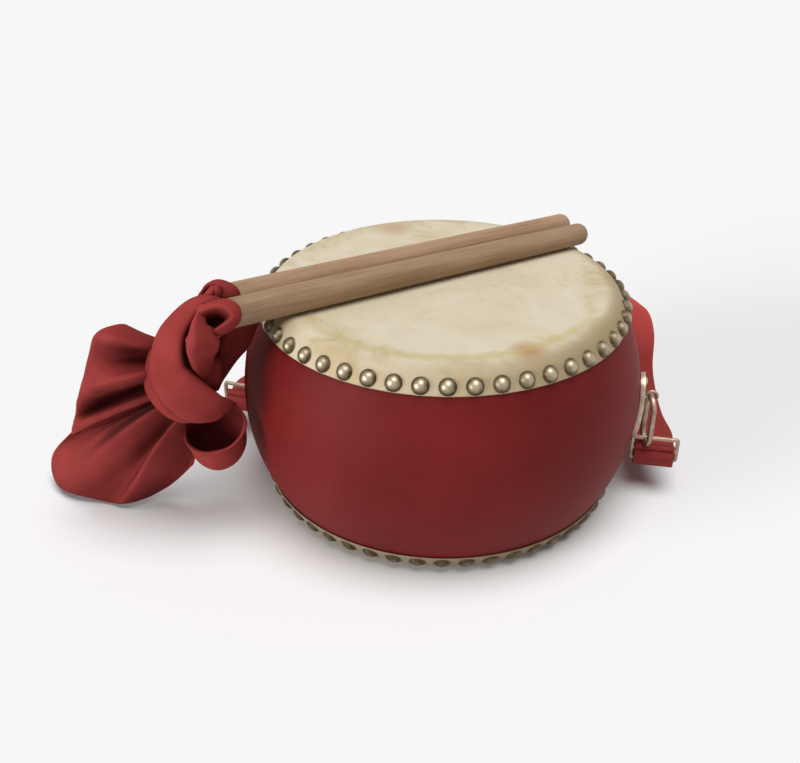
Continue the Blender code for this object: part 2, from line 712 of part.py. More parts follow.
def sash_loop(name, index, parts, cutters, material):
    """A sleeve of cloth on one butt, hollowed at its end and flattened where it meets the other stick's sleeve."""
    obj = loop_blank(name, index, 0, parts, material)
    bm = bmesh.new()
    radius = STICK_BUTT_RADIUS + GAP
    bmesh.ops.create_cone(bm, cap_ends=True, segments=20, radius1=radius, radius2=radius, depth=60 * MM)
    bore = new_object(name + "_bore", mesh_from(name + "_bore", bm), cutters)
    bore.matrix_basis = stick_frame(index) @ Matrix.Translation((0, 0, 30 * MM - 2 * GAP))
    boolean(obj, bore, "DIFFERENCE")
    mouth = ellipsoid(name + "_mouth", (0, 0, LOOP_END), LOOP_MOUTH_RADII, 0, cutters)
    mouth.matrix_basis = stick_frame(index)
    boolean(obj, mouth, "DIFFERENCE")
    bm = bmesh.new()
    size = 80 * MM
    bmesh.ops.create_cube(bm, size=size)
    other = new_object(name + "_half", mesh_from(name + "_half", bm), cutters)
    side = 1 if index == 0 else -1
    reach = side * (STICK_SPACING / 2 - GAP / 2 + size / 2)
    other.matrix_basis = stick_frame(index) @ Matrix.Translation((0, reach, 0))
    return boolean(obj, other, "DIFFERENCE")


def wrap_sections(centre, places, grow, count):
    """Oval rings along a band that wraps round a centre, with its flat towards it."""
    path = smooth_through(mm_points([place for place, _, _ in places]), count)
    sizes = smooth_through([(width, depth, 0) for _, width, depth in places], count)
    sections = []
    for i, point in enumerate(path):
        along = (path[min(i + 1, count - 1)] - path[max(i - 1, 0)]).normalized()
        out = point - centre
        out = (out - along * out.dot(along)).normalized()
        across = along.cross(out)
        ring_points = []
        for step in range(10):
            angle = 2 * pi * step / 10
            reach = across * (sizes[i].x + grow) * cos(angle) + out * (sizes[i].y + grow) * sin(angle)
            ring_points.append(point + reach * MM)
        sections.append(ring_points)
    return sections


def ellipsoid(name, centre, radii, grow, collection):
    bm = bmesh.new()
    bmesh.ops.create_uvsphere(bm, u_segments=10, v_segments=7, radius=1)
    bmesh.ops.scale(bm, verts=bm.verts, vec=[(radius + grow) * MM for radius in radii])
    bmesh.ops.translate(bm, verts=bm.verts, vec=Vector(centre) * MM)
    return new_object(name, mesh_from(name, bm), collection)


def knot(name, grow, collection, helpers, material=None):
    """The sash's knot: a wrapped band, the core under it and a strand that tucks in from the front loop."""
    centre = Vector(KNOT_CORE) * MM
    obj = loft(name, wrap_sections(centre, KNOT_WRAP, grow, 14), collection, material)
    core = ellipsoid(name + "_core", KNOT_CORE, KNOT_CORE_RADII, grow, helpers)
    boolean(obj, core, "UNION")
    radius = KNOT_STRAND_RADIUS
    places = [(point, radius, radius * 0.85) for point in KNOT_STRAND]
    strand = loft(name + "_strand", wrap_sections(centre, places, grow, 7), helpers)
    return boolean(obj, strand, "UNION")


def ridge_height(ridges, place):
    """Height of the folds at a place across the cloth, 0 to 1. Each ridge has a place, a height and a half-width."""
    height = 0
    for middle, top, half_width in ridges:
        away = min(1, abs(place - middle) / half_width)
        height += top * (1 + cos(pi * away)) / 2
    return height


def fan_point(root, hem, out, along, offset):
    point = root.lerp(hem, along) + out * offset * MM
    point.z = max(point.z, (CLOTH_THICKNESS / 2 + 2 * CLOTH_GAP) * MM)
    return point


def bow(name, parts, material, rows=7, columns=17):
    """The upper bow: cloth that leaves the knot, turns back at its outer edge and returns behind."""
    roots = smooth_through(mm_points(UPPER_BOW_ROOT), columns)
    hems = smooth_through(mm_points(UPPER_BOW_HEM), columns)
    out = Vector(UPPER_BOW_FACING).normalized()
    front, back = [], []
    for i in range(rows):
        along = i / (rows - 1)
        gap = BOW_TURN + (BOW_PUFF - BOW_TURN) * sin(pi * along)
        swell = min(1, 0.25 + 1.5 * along)
        row = []
        for j in range(columns):
            fold = swell * ridge_height(UPPER_BOW_RIDGES, j / (columns - 1))
            row.append(fan_point(roots[j], hems[j], out, along, gap + fold))
        front.append(row)
        back.append([fan_point(roots[j], hems[j], out, along, -gap) for j in range(columns)])
    turn = []
    for near, far, inner in zip(front[-1], back[-1], front[-2]):
        turn.append((near + far) / 2 + (near - inner).normalized() * BOW_TURN * MM)
    return sheet(name, front + [turn] + back[::-1], CLOTH_THICKNESS * MM, parts, material)


def tail(name, parts, material, rows=9, columns=25):
    """The lower tail: one layer that spreads from the knot to a hem on the floor."""
    roots = smooth_through(mm_points(LOWER_TAIL_ROOT), columns)
    hems = smooth_through(mm_points(LOWER_TAIL_HEM), columns)
    out = Vector(LOWER_TAIL_FACING).normalized()
    grid = []
    for i in range(rows):
        along = i / (rows - 1)
        swell = sin(pi * min(0.5, 0.8 * along))
        row = []
        for j in range(columns):
            fold = swell * ridge_height(LOWER_TAIL_RIDGES, j / (columns - 1))
            row.append(fan_point(roots[j], hems[j], out, along, fold))
        grid.append(row)
    return sheet(name, grid, CLOTH_THICKNESS * MM, parts, material)


def side_bow(name, parts, material):
    """An open cup of cloth below the knot."""
    bm = bmesh.new()
    bmesh.ops.create_uvsphere(bm, u_segments=16, v_segments=12, radius=1)
    mouth = Vector(SIDE_BOW_MOUTH).normalized()
    turn = Vector((0, 0, 1)).rotation_difference(mouth).to_matrix()
    bmesh.ops.rotate(bm, verts=bm.verts, matrix=turn)
    bmesh.ops.scale(bm, verts=bm.verts, vec=[radius * MM for radius in SIDE_BOW_RADII])
    everything = bm.verts[:] + bm.edges[:] + bm.faces[:]
    rim = mouth * SIDE_BOW_MOUTH_OFFSET * MM
    bmesh.ops.bisect_plane(bm, geom=everything, plane_co=rim, plane_no=mouth, clear_outer=True)
    bmesh.ops.translate(bm, verts=bm.verts, vec=Vector(SIDE_BOW_CENTRE) * MM)
    return thickened(new_object(name, mesh_from(name, bm), parts, material), CLOTH_THICKNESS * MM)


def build_sash(parts, cutters, paint):
    cloth = paint["cloth"]
    sash_loop("sash_front_loop", 0, parts, cutters, cloth)
    sash_loop("sash_back_loop", 1, parts, cutters, cloth)
    tied = knot("sash_knot", 0, parts, cutters, cloth)
    for index in (0, 1):
        blank = loop_blank(f"loop_clearance_{index}", index, CLOTH_GAP, cutters)
        boolean(tied, settled(blank), "DIFFERENCE")
    clearance = settled(knot("knot_clearance", CLOTH_GAP, cutters, cutters))
    upper = bow("sash_upper_bow", parts, cloth)
    lower = tail("sash_lower_tail", parts, cloth)
    cup = side_bow("sash_side_bow", parts, cloth)
    places = [(point, HANGING_STRIP_WIDTH / 2, CLOTH_THICKNESS / 2) for point in HANGING_STRIP]
    axis = Vector((0, 0, HANGING_STRIP[1][2])) * MM
    strip = loft("sash_hanging_strip", wrap_sections(axis, places, 0, 7), parts, cloth)
    for piece in (upper, lower, cup, strip):
        boolean(piece, clearance, "DIFFERENCE")
    cup_clearance = ellipsoid("cup_clearance", SIDE_BOW_CENTRE, SIDE_BOW_RADII, CLOTH_THICKNESS, cutters)
    boolean(lower, cup_clearance, "DIFFERENCE")


def main():
    clear_scene()
    parts = new_collection("Waist drum")
    cutters = new_collection("Cutters")
    paint = {
        "lacquer": new_material("red lacquer", "7A1D1C", 0.35),
        "hide": new_material("hide", "D8CBAE", 0.6),
        "tack": new_material("antique brass tacks", BRASS, 0.35, 1.0),
        "brass": new_material("strap brass", BRASS, 0.4, 1.0),
        "steel": new_material("pin steel", "8C8C88", 0.4, 1.0),
        "webbing": new_material("red webbing", WEBBING_RED, 0.8),
        "wood": new_material("stick wood", "A98663", 0.55),
        "cloth": new_material("red sash cloth", CLOTH_RED, 0.85),
    }
    shell = build_drum(parts, cutters, paint)
    for side in RING_AZIMUTHS:
        build_fittings(side, shell, parts, cutters, paint)
    strap_band(parts, paint["webbing"])
    stick("front_stick", 0, parts, paint["wood"])
    stick("back_stick", 1, parts, paint["wood"])
    build_sash(parts, cutters, paint)
    for obj in parts.objects:
        if obj.type == "MESH":
            obj.data.shade_smooth()
            obj.data.set_sharp_from_angle(angle=SHARP_ANGLE)


if __name__ == "__main__":
    main()
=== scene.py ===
"""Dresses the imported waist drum: lacquered shell, hide heads, tacks, strap fittings, strap, sticks and sash.

Laid out as a Blender add-on and run as a script. Each operator makes one piece or a group of like pieces,
and one makes the stage. Metres, +Z up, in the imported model's own frame.
"""

from math import asin, cos, pi, radians, sin, sqrt

import bmesh
import bpy
import numpy as np
from bpy.props import FloatProperty, FloatVectorProperty, IntProperty, PointerProperty
from bpy.types import Operator, Panel, PropertyGroup
from mathutils import Matrix, Vector, noise


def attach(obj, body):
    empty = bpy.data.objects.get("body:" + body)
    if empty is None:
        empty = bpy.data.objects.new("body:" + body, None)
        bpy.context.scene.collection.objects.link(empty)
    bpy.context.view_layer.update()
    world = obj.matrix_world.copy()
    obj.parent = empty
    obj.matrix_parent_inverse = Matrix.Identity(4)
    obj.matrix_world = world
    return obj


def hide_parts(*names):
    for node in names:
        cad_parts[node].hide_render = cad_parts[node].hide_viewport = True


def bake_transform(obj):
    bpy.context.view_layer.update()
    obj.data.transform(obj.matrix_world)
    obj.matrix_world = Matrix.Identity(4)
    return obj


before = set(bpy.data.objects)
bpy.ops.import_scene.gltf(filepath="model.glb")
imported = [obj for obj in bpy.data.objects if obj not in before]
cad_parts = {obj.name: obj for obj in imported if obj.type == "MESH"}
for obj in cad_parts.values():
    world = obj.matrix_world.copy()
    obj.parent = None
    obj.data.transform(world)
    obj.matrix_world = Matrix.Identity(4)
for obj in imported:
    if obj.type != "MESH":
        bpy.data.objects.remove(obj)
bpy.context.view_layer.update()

bl_info = {
    "name": "Waist drum",
    "version": (1, 0, 0),
    "blender": (4, 5, 0),
    "location": "View3D > Sidebar > Waist drum",
    "description": "Dresses a packed waist drum with its finishes, strap, sticks and sash",
    "category": "Object",
}

MM = 0.001
GAP = 0.3 * MM
MERGE = 0.005 * MM
SHARP_ANGLE = radians(38)
SIDES = ("right", "left")

# Drum, by angle above the belly line
RIM_ANGLE = radians(32)
HEM_ANGLE = radians(28.2)
HEM_CURL = radians(0.25)
TACK_ANGLE = radians(30.5)
DRUM_TURN = radians(3.05)
BELLY_BORE = 111 * MM
END_BORE = 90 * MM
BORE_HALF_HEIGHT = 17 * MM
SHELL_STEPS = 192
HIDE_STEPS_PER_TACK = 8
# Between tacks the hide stands out and up, and an uneven pull round the drum adds to both
PUCKER_BELOW_TOP = 14 * MM
PUCKER_FADE = 10 * MM
PUCKER_OUT = 0.35 * MM
PUCKER_UP = 0.3 * MM
PULL_OUT = 0.25 * MM
PULL_DOWN = 0.42 * MM
PULL_WAVES = 9
TACK_STEPS = 20
TACK_LIFT = 0.35 * MM
TACK_LIP = 1.03
TACK_LIP_Z = -0.15 * MM
TACK_FOOT = 0.9
TACK_FOOT_Z = -0.5 * MM
# How bright a tack's crown is rubbed, with a painted highlight on it and less on the lower tacks as painted
# shade, and how fast that fades down its dome
CROWN_WEAR_HIGHLIGHT_AND_SHADE = {"top": 1.0, "bottom": 0.3}
WEAR_AND_HIGHLIGHT_FADE = 2.2
# Old rust stains on the hides: centre in mm, radius in mm, and how strong they are
RUST_STAINS = (((43, -86, 134), 14, 0.95), ((-32, 85, 135), 18, 0.55))

# Strap fittings, in the frame of each side: x out of the drum, y round it, z up
AZIMUTHS = {"right": radians(-10), "left": radians(164)}
TOWARDS_BACK = {"right": 1, "left": -1}
PLATE_CENTRE_Z = 63 * MM
PLATE_START_X = 150 * MM
PLATE_EDGE = 1 * MM
# A nail's head, as (radius, height above the plate) in mm
NAIL_HEAD = ((0, 1.2), (1.2, 1.05), (2.1, 0.6), (2.6, 0))
NAIL_STEPS = 20
NAIL_RADIUS = 1 * MM
NAIL_POINT = 2 * MM
NAIL_SPREAD = 17 * MM
NAIL_LENGTH = 9 * MM
PIN_Z = 70 * MM
PIN_WIRE = 0.9 * MM
PIN_LEG_OFFSET = 1.15 * MM
# A split pin's leg inside the drum, from its end: (out from the washer, up) in mm
PIN_LEG = ((-3.4, 9.5), (-2.6, 4), (-1, 1.15))
EYE_RADIUS = 3.4 * MM
EYE_X = 132.6 * MM
WASHER_INSIDE = 108.8 * MM
RING_WIRE = 1.6 * MM
# A ring's wire is this much deeper than it is wide
RING_DEPTH = 1.14
RING_TWIST = radians(13)
RING_HALF_WIDTH = 7.9 * MM
RING_DROP = 33.7 * MM
RING_TOP_Z = 69.4 * MM
SLIDER_X = 138.9 * MM
SLIDER_TOP_Z = 39 * MM
SLIDER_SLOT = 25.8 * MM
SLIDER_THICKNESS = 2.2 * MM
SLIDER_BAR = 2.4 * MM
SLIDER_PITCH = 7.6 * MM
SLIDER_CORNER = 2.3 * MM
SLIDER_EDGE = 0.85 * MM
# How far the fittings' brass is rubbed bright
PLATE_RUBBED = 0.75
LINK_RUBBED = 0.45

# Webbing. The roll's route round the slider's lower bars is (towards the back, up) from the top bar, in mm
ROLL = (
    (2, -12.2), (2, -9), (1.6, -6.6), (0, -5.2), (-1.7, -5.6), (-2.3, -6.8), (-1.3, -8), (-2.7, -9.3),
    (-4, -12), (-4, -15.4), (-2.4, -18.6), (0.6, -19.7), (3.4, -18.2), (4.6, -15.4), (4.75, -12.4),
    (5.3, -10.2), (6.8, -8.1), (9.2, -7.2),
)
ROLL_POINTS = 86
# The long band leaves the roll in this direction (out, towards the back, up) and runs straight this far
JOIN_DIRECTION = (-0.08, 0.99, 0)
JOIN_RUN = 10 * MM
# The long band's route behind the drum: its centre in mm and the direction of its outer edge
STRAP_ROUTE = (
    ((137.7, 9, 32.5), (1, 0, 0)), ((137.3, 25, 34.2), (1, 0.05, 0)), ((137.5, 41, 38.8), (1, 0.1, 0)),
    ((137, 51.5, 51), (0.97, 0.1, -0.2)), ((137, 58, 73), (0.9, 0.15, -0.4)),
    ((133, 68, 88), (0.75, 0.15, -0.6)), ((126, 84, 93), (0.65, 0.3, -0.65)),
    ((116, 104, 84), (0.6, 0.5, -0.6)), ((104, 122, 62), (0.65, 0.7, -0.3)), ((92, 136, 34), (0.6, 0.8, 0)),
    ((76, 148, 10), (0.5, 0.86, 0)), ((52, 158, 1.8), (0.3, 0.95, 0)), ((15, 164, 1.8), (0.05, 1, 0)),
    ((-30, 162, 1.8), (-0.1, 1, 0)), ((-72, 150, 1.8), (-0.4, 0.92, 0)),
    ((-104, 124, 2.2), (-0.75, 0.66, 0)), ((-116, 98, 8), (-0.93, 0.36, 0)),
    ((-123, 76, 24), (-0.95, 0.3, 0)),
)
STRAP_STEPS = 8
# The band is cut into three lengths at these places of its route, counted from the right roll's end
STRAP_RIGHT_LAST = 8
STRAP_LEFT_FIRST = 17
BAND_COLUMNS = 11
BAND_TRIM = 0.2 * MM
BAND_EDGE = 0.45 * MM

# Sticks
STICK_STRAIGHT = 36 * MM
STICK_HEADING = radians(29.63)
STICK_DIP = radians(0.32)
STICK_SPACING = 18.7 * MM
STICK_STEPS = 56
TIP_ROUND = 6.5 * MM
BUTT_ROUND = 1.5 * MM
FRONT_BUTT = (-121.9 * MM, -62.15 * MM, 145.5 * MM)

# Sash, in mm. Hoods are described from the front: right, up and towards the viewer. A hood's outline is its
# radii from the right and on round over the top, and its scoop's size is across, above and below its middle
HOOD_AXES = np.array(((1, 0, 0), (0, 0.51, 0.86), (0, -0.86, 0.51)))
# A scoop is flat over this share of its size
SCOOP_FLOOR = 0.22
FRONT_HOOD = {
    "centre": (-126.8, -68, 144.6),
    "outline": (12.2, 13.8, 12.8, 11, 10.8, 12.5, 9.5, 8.2, 7.6, 8.4, 8, 9.2),
    "front": 10.5,
    "back": 12,
    "scoop": (-1, -2.4),
    "scoop_size": (12.5, 9.5, 3.4),
    "scoop_tilt": radians(27),
    "scoop_depth": 14,
}
BACK_HOOD = {
    "centre": (-130.6, -50, 149.4),
    "outline": (13.7, 13, 10.8, 9.7, 8.8, 8.4, 9.7, 9.7, 9.5, 9.5, 9.5, 11),
    "front": 8,
    "back": 11,
    "scoop": (-2, 0.5),
    "scoop_size": (8.6, 7.5, 5),
    "scoop_tilt": radians(20),
    "scoop_depth": 10,
}
KNOT_CORE = (-146, -62, 108)
KNOT_CORE_RADII = (17, 14, 22)
CORE_BUMP = 0.12
CORE_BUMP_WAVES = 2.2
CORE_WEAVE_SPAN = 100 * MM
# Bands of folded cloth: places along each, with half its width and its depth there
WRAP = (
    ((-126, -60, 152.5), 1.6, 1.2), ((-132, -61, 153), 3.4, 2.4), ((-140, -63, 150), 5.2, 3.5),
    ((-149, -68, 141), 7.2, 4.5), ((-153.5, -73, 133), 8.8, 5), ((-155, -77, 119), 10.8, 5.5),
    ((-150, -80, 109), 12.3, 6), ((-141, -81, 100), 12.2, 6), ((-132, -79, 95), 9.2, 5),
    ((-127, -74, 93), 4.6, 3), ((-122, -66, 89), 1, 1.2),
)
UNDER_WRAP = (
    ((-137, -58, 149), 4.5, 3), ((-145, -61, 140), 6.0, 3.5), ((-153, -64, 131), 7.5, 4),
    ((-158, -68, 125), 9.0, 4.5), ((-160, -71, 117), 10.0, 5), ((-161, -73, 110), 11.0, 5),
    ((-160, -75, 104), 11.0, 5), ((-156, -76, 98), 11.0, 5), ((-150, -76, 93), 10.5, 5),
    ((-144, -75, 90), 9.0, 4.5), ((-138, -72, 86), 6.0, 4),
)
STRAND = (
    ((-134.5, -64, 153), 0.8, 1.5), ((-135.4, -71, 148.5), 2.2, 3), ((-135.8, -75, 144.4), 4.4, 4.5),
    ((-134.5, -77, 139.4), 8.2, 6.5), ((-134.4, -78, 135), 8.6, 7.2), ((-135.8, -77, 129), 7.4, 6.5),
    ((-136.6, -74, 116.9), 5, 4.5), ((-136.8, -68, 103.5), 2.2, 3),
)
BACK_RIDGE = (
    ((-135, -57, 150.5), 2.4, 2.4), ((-131.4, -58, 155.6), 2.2, 2.4), ((-129.2, -56, 159), 1.2, 1.6),
)
SIDE_RIDGE = (
    ((-127.2, -56.5, 148.5), 1.8, 2.2), ((-127.6, -57.5, 156.6), 1.6, 2), ((-128.6, -56, 159.4), 0.9, 1.4),
)
HANGING_STRIP = (
    ((-116.5, -46, 136), 11, 1.5), ((-120.5, -46, 124), 9.8, 1.5), ((-126.5, -47, 112), 8.6, 1.5),
    ((-132, -49, 101), 6.5, 1.2), ((-137, -52, 90), 4, 1),
)
# Sections across a band, from its inner edge: (across, out) as shares of half its width and its depth
SOFT_SECTION = (
    (-0.72, -1.1), (-0.95, -0.55), (-1, 0), (-0.85, 0.55), (-0.48, 0.9), (0, 1), (0.48, 0.9), (0.85, 0.55),
    (1, 0), (0.95, -0.55), (0.72, -1.1),
)
CRISP_SECTION = (
    (-0.6, -0.9), (-0.86, -0.5), (-1, 0.25), (-0.93, 0.72), (-0.55, 0.95), (0, 1), (0.45, 0.88),
    (0.82, 0.6), (1, 0.1), (0.96, -0.5), (0.72, -1.1),
)
RIDGE_SECTION = (
    (-0.8, -0.9), (-0.96, -0.45), (-0.98, -0.05), (-0.62, 0.3), (-0.2, 0.62), (0.2, 0.88), (0.5, 1),
    (0.76, 0.8), (0.94, 0.3), (1, -0.3), (0.9, -1),
)
FLAT_SECTION = ((-1, -0.4), (-0.6, 0.5), (-0.2, 1), (0.2, 0.6), (0.6, 0.9), (1, 0))
BAND_FACING = (-0.1, -0.86, 0.5)
FACING_WEIGHT = 1.2
# The bow and the tail: curves at the knot and at the hem, and how far folds stand out from knot to hem
BOW_ROOT = ((-151, -60, 121), (-155, -62, 115), (-156, -63, 108), (-156, -63, 96))
BOW_HEM = (
    (-181, -56, 135), (-194, -56, 128), (-200, -56, 112), (-207, -55, 93), (-216, -51, 71), (-220, -45, 55),
)
BOW_FACING = (-0.35, -0.85, 0.4)
# Its two layers: how far they stand from their middle at the hem and half way along, and the share of its
# width over which they close
BOW_TURN = 2.6
BOW_PUFF = 6.5
BOW_CLOSES = 0.13
# Its back layer has this share of the folds
BOW_BACK_FOLDS = 0.35
BOW_FOLDS = (
    (1, 2, 0, -3, -4, -2, 0, 2, 4, 3, -4, -5, -1, 1, 1),
    (3, 6, 2, -5, -9, -5, 1, 6, 11, 10, -10, -12, 0, 5, 4),
    (5, 9, 7, 0, -6, -4, 3, 8, 13, 12, -10, -13, 2, 8, 8),
    (5, 9, 10, 7, 1, 0, 4, 9, 12, 12, -7, -10, 4, 9, 9), (3, 4, 5, 5, 4, 4, 5, 6, 7, 7, 4, 3, 5, 7, 7),
)
TAIL_ROOT = ((-158, -56, 98), (-156, -61, 91), (-147, -66, 86.5), (-141, -61, 88))
TAIL_HEM = (
    (-228, -28, 50), (-253, -14, 17), (-246, -31, 4), (-221, -43, 2.6), (-197, -48, 2.6), (-176, -43, 11),
    (-154, -50, 35),
)
TAIL_FACING = (-0.3, -0.75, 0.6)
TAIL_FOLDS = (
    (-2, -3, -3, 0, 2, 2, -1, -4, -1, 2, 0, -2, -3, -2, -1),
    (-5, -9, -8, 0, 6, 9, 0, -8, -3, 8, 0, -6, -8, -6, -2),
    (-6, -9, -7, 1, 7, 11, 4, -7, -4, 9, 2, -5, -8, -7, -2),
    (-5, -4, -2, 1, 5, 8, 6, -2, -3, 6, 3, -2, -5, -5, -2),
    (-1, 0, 1, 2, 3, 4, 5, 2, 0, 4, 3, 0, -2, -2, -1),
)
CUP_CENTRE = (-134, -66, 69)
CUP_RADII = (17, 15, 24)
CUP_MOUTH = (-0.12, -0.28, 0.95)
# The rim's angle from the mouth's direction, in degrees, and how far the lip rolls out beyond it
CUP_RIM = 84
CUP_LIP = 2.2
CUP_LIP_RISE = 0.8
CUP_LIP_ROWS = 4
# The sash's pieces laid flat, by estimate: width and length, and the area in square metres of a wedge
SASH_FLATS = {
    "front_hood": {"flat": (34 * MM, 50 * MM)},
    "back_hood": {"flat": (30 * MM, 42 * MM)},
    "bow": {"flat": (105 * MM, 150 * MM), "area": 0.011},
    "tail": {"flat": (120 * MM, 120 * MM), "area": 0.009},
    "cup": {"flat": (60 * MM, 80 * MM), "area": 0.0034},
    "strip": {"flat": (24 * MM, 45 * MM), "area": 0.0007},
}
BAND_AREA_SHARE = 0.8

# Stage. Each lamp has a name, the setting for its strength, where it shines from, and its angle across
LAMPS = (
    ("overhead_light", "overhead", (0.1, -0.16, 0.98), radians(44)),
    ("front_light", "front", (-0.85, -0.5, 0.16), radians(30)),
)
FLOOR_SIZE = 12
FLOOR_Z = -0.1 * MM
LAMP_DISTANCE = 2
SENSOR_WIDTH = 36
CLIP_START = 10 * MM

# A wave texture of scale 1 repeats after this length
WAVE_LENGTH = 0.314
# A range that starts and ends softly
EASED = {"interpolation_type": "SMOOTHSTEP"}


def linear(hex_colour):
    """An sRGB hex colour as linear red, green, blue and alpha."""
    channels = [int(hex_colour[i : i + 2], 16) / 255 for i in (0, 2, 4)]
    return [c / 12.92 if c <= 0.04045 else ((c + 0.055) / 1.055) ** 2.4 for c in channels] + [1.0]


def length(name, description, default):
    """A length that a user can change."""
    return FloatProperty(name=name, description=description, default=default, unit="LENGTH", precision=4)


def camera_angle(name, description, default):
    """An angle of the camera that a user can change."""
    return FloatProperty(name=name, description=description, default=default, subtype="ANGLE")


def light_share(name, description, default):
    """A share of the light that a user can change."""
    return FloatProperty(name=name, description=description, default=default, min=0)


def colour(name, description, hex_colour):
    """A colour that a user can change."""
    shown = linear(hex_colour)
    return FloatVectorProperty(name=name, description=description, default=shown, size=4, subtype="COLOR")


class DrumSizes(PropertyGroup):
    """Sizes of the shell, the hides and the tacks"""

    height: length("Height", "From the floor to the top hide", 136.5 * MM)
    belly_radius: length("Belly radius", "The shell's widest radius", 125 * MM)
    side_arc: length("Side arc", "Radius of the arc that the shell's side follows", 116 * MM)
    hide: length("Hide", "Thickness of the hides", 1.2 * MM)
    tacks: IntProperty(name="Tacks", description="Tacks round each end", default=48)
    tack_radius: length("Tack radius", "Radius of a tack's head", 4.8 * MM)
    top_dome: length("Top dome", "How far the upper tacks stand out", 3.4 * MM)
    bottom_dome: length("Bottom dome", "How far the lower tacks stand out", 1.8 * MM)


class StrapSizes(PropertyGroup):
    """Sizes of the strap and its fittings"""

    plate_height: length("Plate height", "Height of the oval ring plates", 44 * MM)
    plate_width: length("Plate width", "Width of the oval ring plates", 20 * MM)
    plate: length("Plate", "Thickness of the ring plates", 3 * MM)
    slider_width: length("Slider width", "Width of the three-bar sliders", 30.5 * MM)
    width: length("Webbing width", "Width of the strap", 25 * MM)
    webbing: length("Webbing", "Thickness of the strap", 1.3 * MM)


class StickSizes(PropertyGroup):
    """Sizes of the sticks and the sash's cloth"""

    length: length("Length", "Length of a stick", 249 * MM)
    butt_radius: length("Butt radius", "Radius of a stick at its butt", 8.5 * MM)
    tip_radius: length("Tip radius", "Radius of a stick at its tip", 7 * MM)
    cloth: length("Cloth", "Thickness of the sash", 1.1 * MM)


class Finishes(PropertyGroup):
    """Colours of the finishes"""

    lacquer: colour("Lacquer", "Red lacquer on the shell", "701D1B")
    lacquer_deep: colour("Deep lacquer", "Lacquer where it lies thicker", "631614")
    hide: colour("Hide", "Scraped rawhide", "DACFB8")
    hide_cloud: colour("Clouded hide", "Cloudy patches in the hide", "CDBF9F")
    hide_stain: colour("Hide stain", "Handling stains and the yellowed edge", "B79F6C")
    # Partly aged hide round the rim, partly painted shade on the skirt
    hide_skirt_and_shade: colour("Hide skirt", "Aged hide round the rim", "A6916F")
    hide_rust: colour("Rust stain", "Orange-brown stains on the hides", "A9763F")
    hide_olive: colour("Olive stain", "Yellow-green stains on the hides", "BFAF74")
    # Painted shade on the lower hide's skirt
    hide_foot_shade: colour("Foot", "The lower hide's skirt", "86745E")
    # Shown where brass is rubbed, and as the tacks' painted highlight
    brass: colour("Brass", "Antique brass where it is rubbed", "B2A58C")
    patina: colour("Patina", "Antique brass in its hollows", "544733")
    fitting: colour("Fitting brass", "Brass of the strap fittings", "C8B19E")
    fitting_patina: colour("Fitting patina", "Their brass in its hollows", "77624F")
    steel: colour("Steel", "Steel of the washers", "8C8C88")
    wood: colour("Wood", "The back stick's wood", "B8987A")
    wood_grain: colour("Wood grain", "The back stick's grain", "957456")
    # The front stick's wood is darker than the back one's, as painted shade
    front_wood_shaded: colour("Front wood", "The front stick's wood", "A7896E")
    front_grain_shaded: colour("Front grain", "The front stick's grain", "87694E")
    wood_pore: colour("Wood pores", "Fine dark pores in both sticks", "6A4E37")
    webbing: colour("Webbing", "Red strap webbing", "C24B45")
    webbing_deep: colour("Deep webbing", "Between the webbing's threads", "B3433E")
    # Painted shade on the strap's ends at the sliders
    webbing_end_shade: colour("Soiled webbing", "The strap's ends at the sliders", "8A2F2B")
    cloth: colour("Cloth", "Red sash cloth", "9A3C39")
    cloth_deep: colour("Deep cloth", "Shaded tone of the sash cloth", "7E2D2B")
    # Painted shade deep inside the sash's folds
    cloth_fold_shade: colour("Folded cloth", "Deep inside the sash's folds", "581B19")
    floor: colour("Floor", "Pale studio floor and background", "F6F6F6")


class StageSettings(PropertyGroup):
    """Camera and light"""

    lens: FloatProperty(name="Lens", description="Focal length", default=47.14, unit="CAMERA")
    distance: length("Distance", "From the camera to its target", 674.7 * MM)
    elevation: camera_angle("Elevation", "Camera above the horizon", radians(30.69))
    roll: camera_angle("Roll", "Camera about its own axis", radians(0.3546))
    target: FloatVectorProperty(
        name="Target",
        description="What the camera looks at",
        default=(-26.4 * MM, 0, 65.7 * MM),
        subtype="XYZ",
    )
    overhead: light_share("Overhead light", "Share of the light from above", 0.78)
    front: light_share("Front light", "Share of the light from the front", 0.75)
    ambient: light_share("Ambient light", "Share of the light from all round", 0.12)


def add_node(tree, kind, links=(), **settings):
    """A new node with its settings.

    Links gives its inputs, by name or in order: a value, an output, or a node for its first output in use.
    """
    node = tree.nodes.new("ShaderNode" + kind)
    for key, value in settings.items():
        setattr(node, key, value)
    for key, value in links.items() if isinstance(links, dict) else enumerate(links):
        if isinstance(value, bpy.types.Node):
            value = next(output for output in value.outputs if output.enabled)
        if isinstance(value, bpy.types.NodeSocket):
            tree.links.new(value, node.inputs[key])
        else:
            node.inputs[key].default_value = value
    return node


def new_material(name):
    """An empty material, its node tree, and the object's own coordinates in metres."""
    material = bpy.data.materials.new(name)
    material.use_nodes = True
    tree = material.node_tree
    tree.nodes.clear()
    return material, tree, add_node(tree, "TexCoord").outputs["Object"]


def finish_material(material, base, layers, surface):
    """Ends a material in one shader. Over its base colour, each layer says how much of another one shows."""
    tree = material.node_tree
    for share, tint in layers:
        base = add_node(tree, "Mix", {0: share, 6: base, 7: tint}, data_type="RGBA")
    shader = add_node(tree, "BsdfPrincipled", {"Base Color": base, **surface})
    add_node(tree, "OutputMaterial", {"Surface": shader})
    return material


def streaks(tree, place, sizes, detail, heading=0.0, roughness=0.5):
    """A pattern of streaks with these sizes in metres, the first of them along the heading."""
    stretch = {"Vector": place, "Rotation": (0, 0, heading), "Scale": sizes}
    along = add_node(tree, "Mapping", stretch, vector_type="TEXTURE")
    return add_node(tree, "TexNoise", {"Vector": along, "Scale": 1, "Detail": detail, "Roughness": roughness})


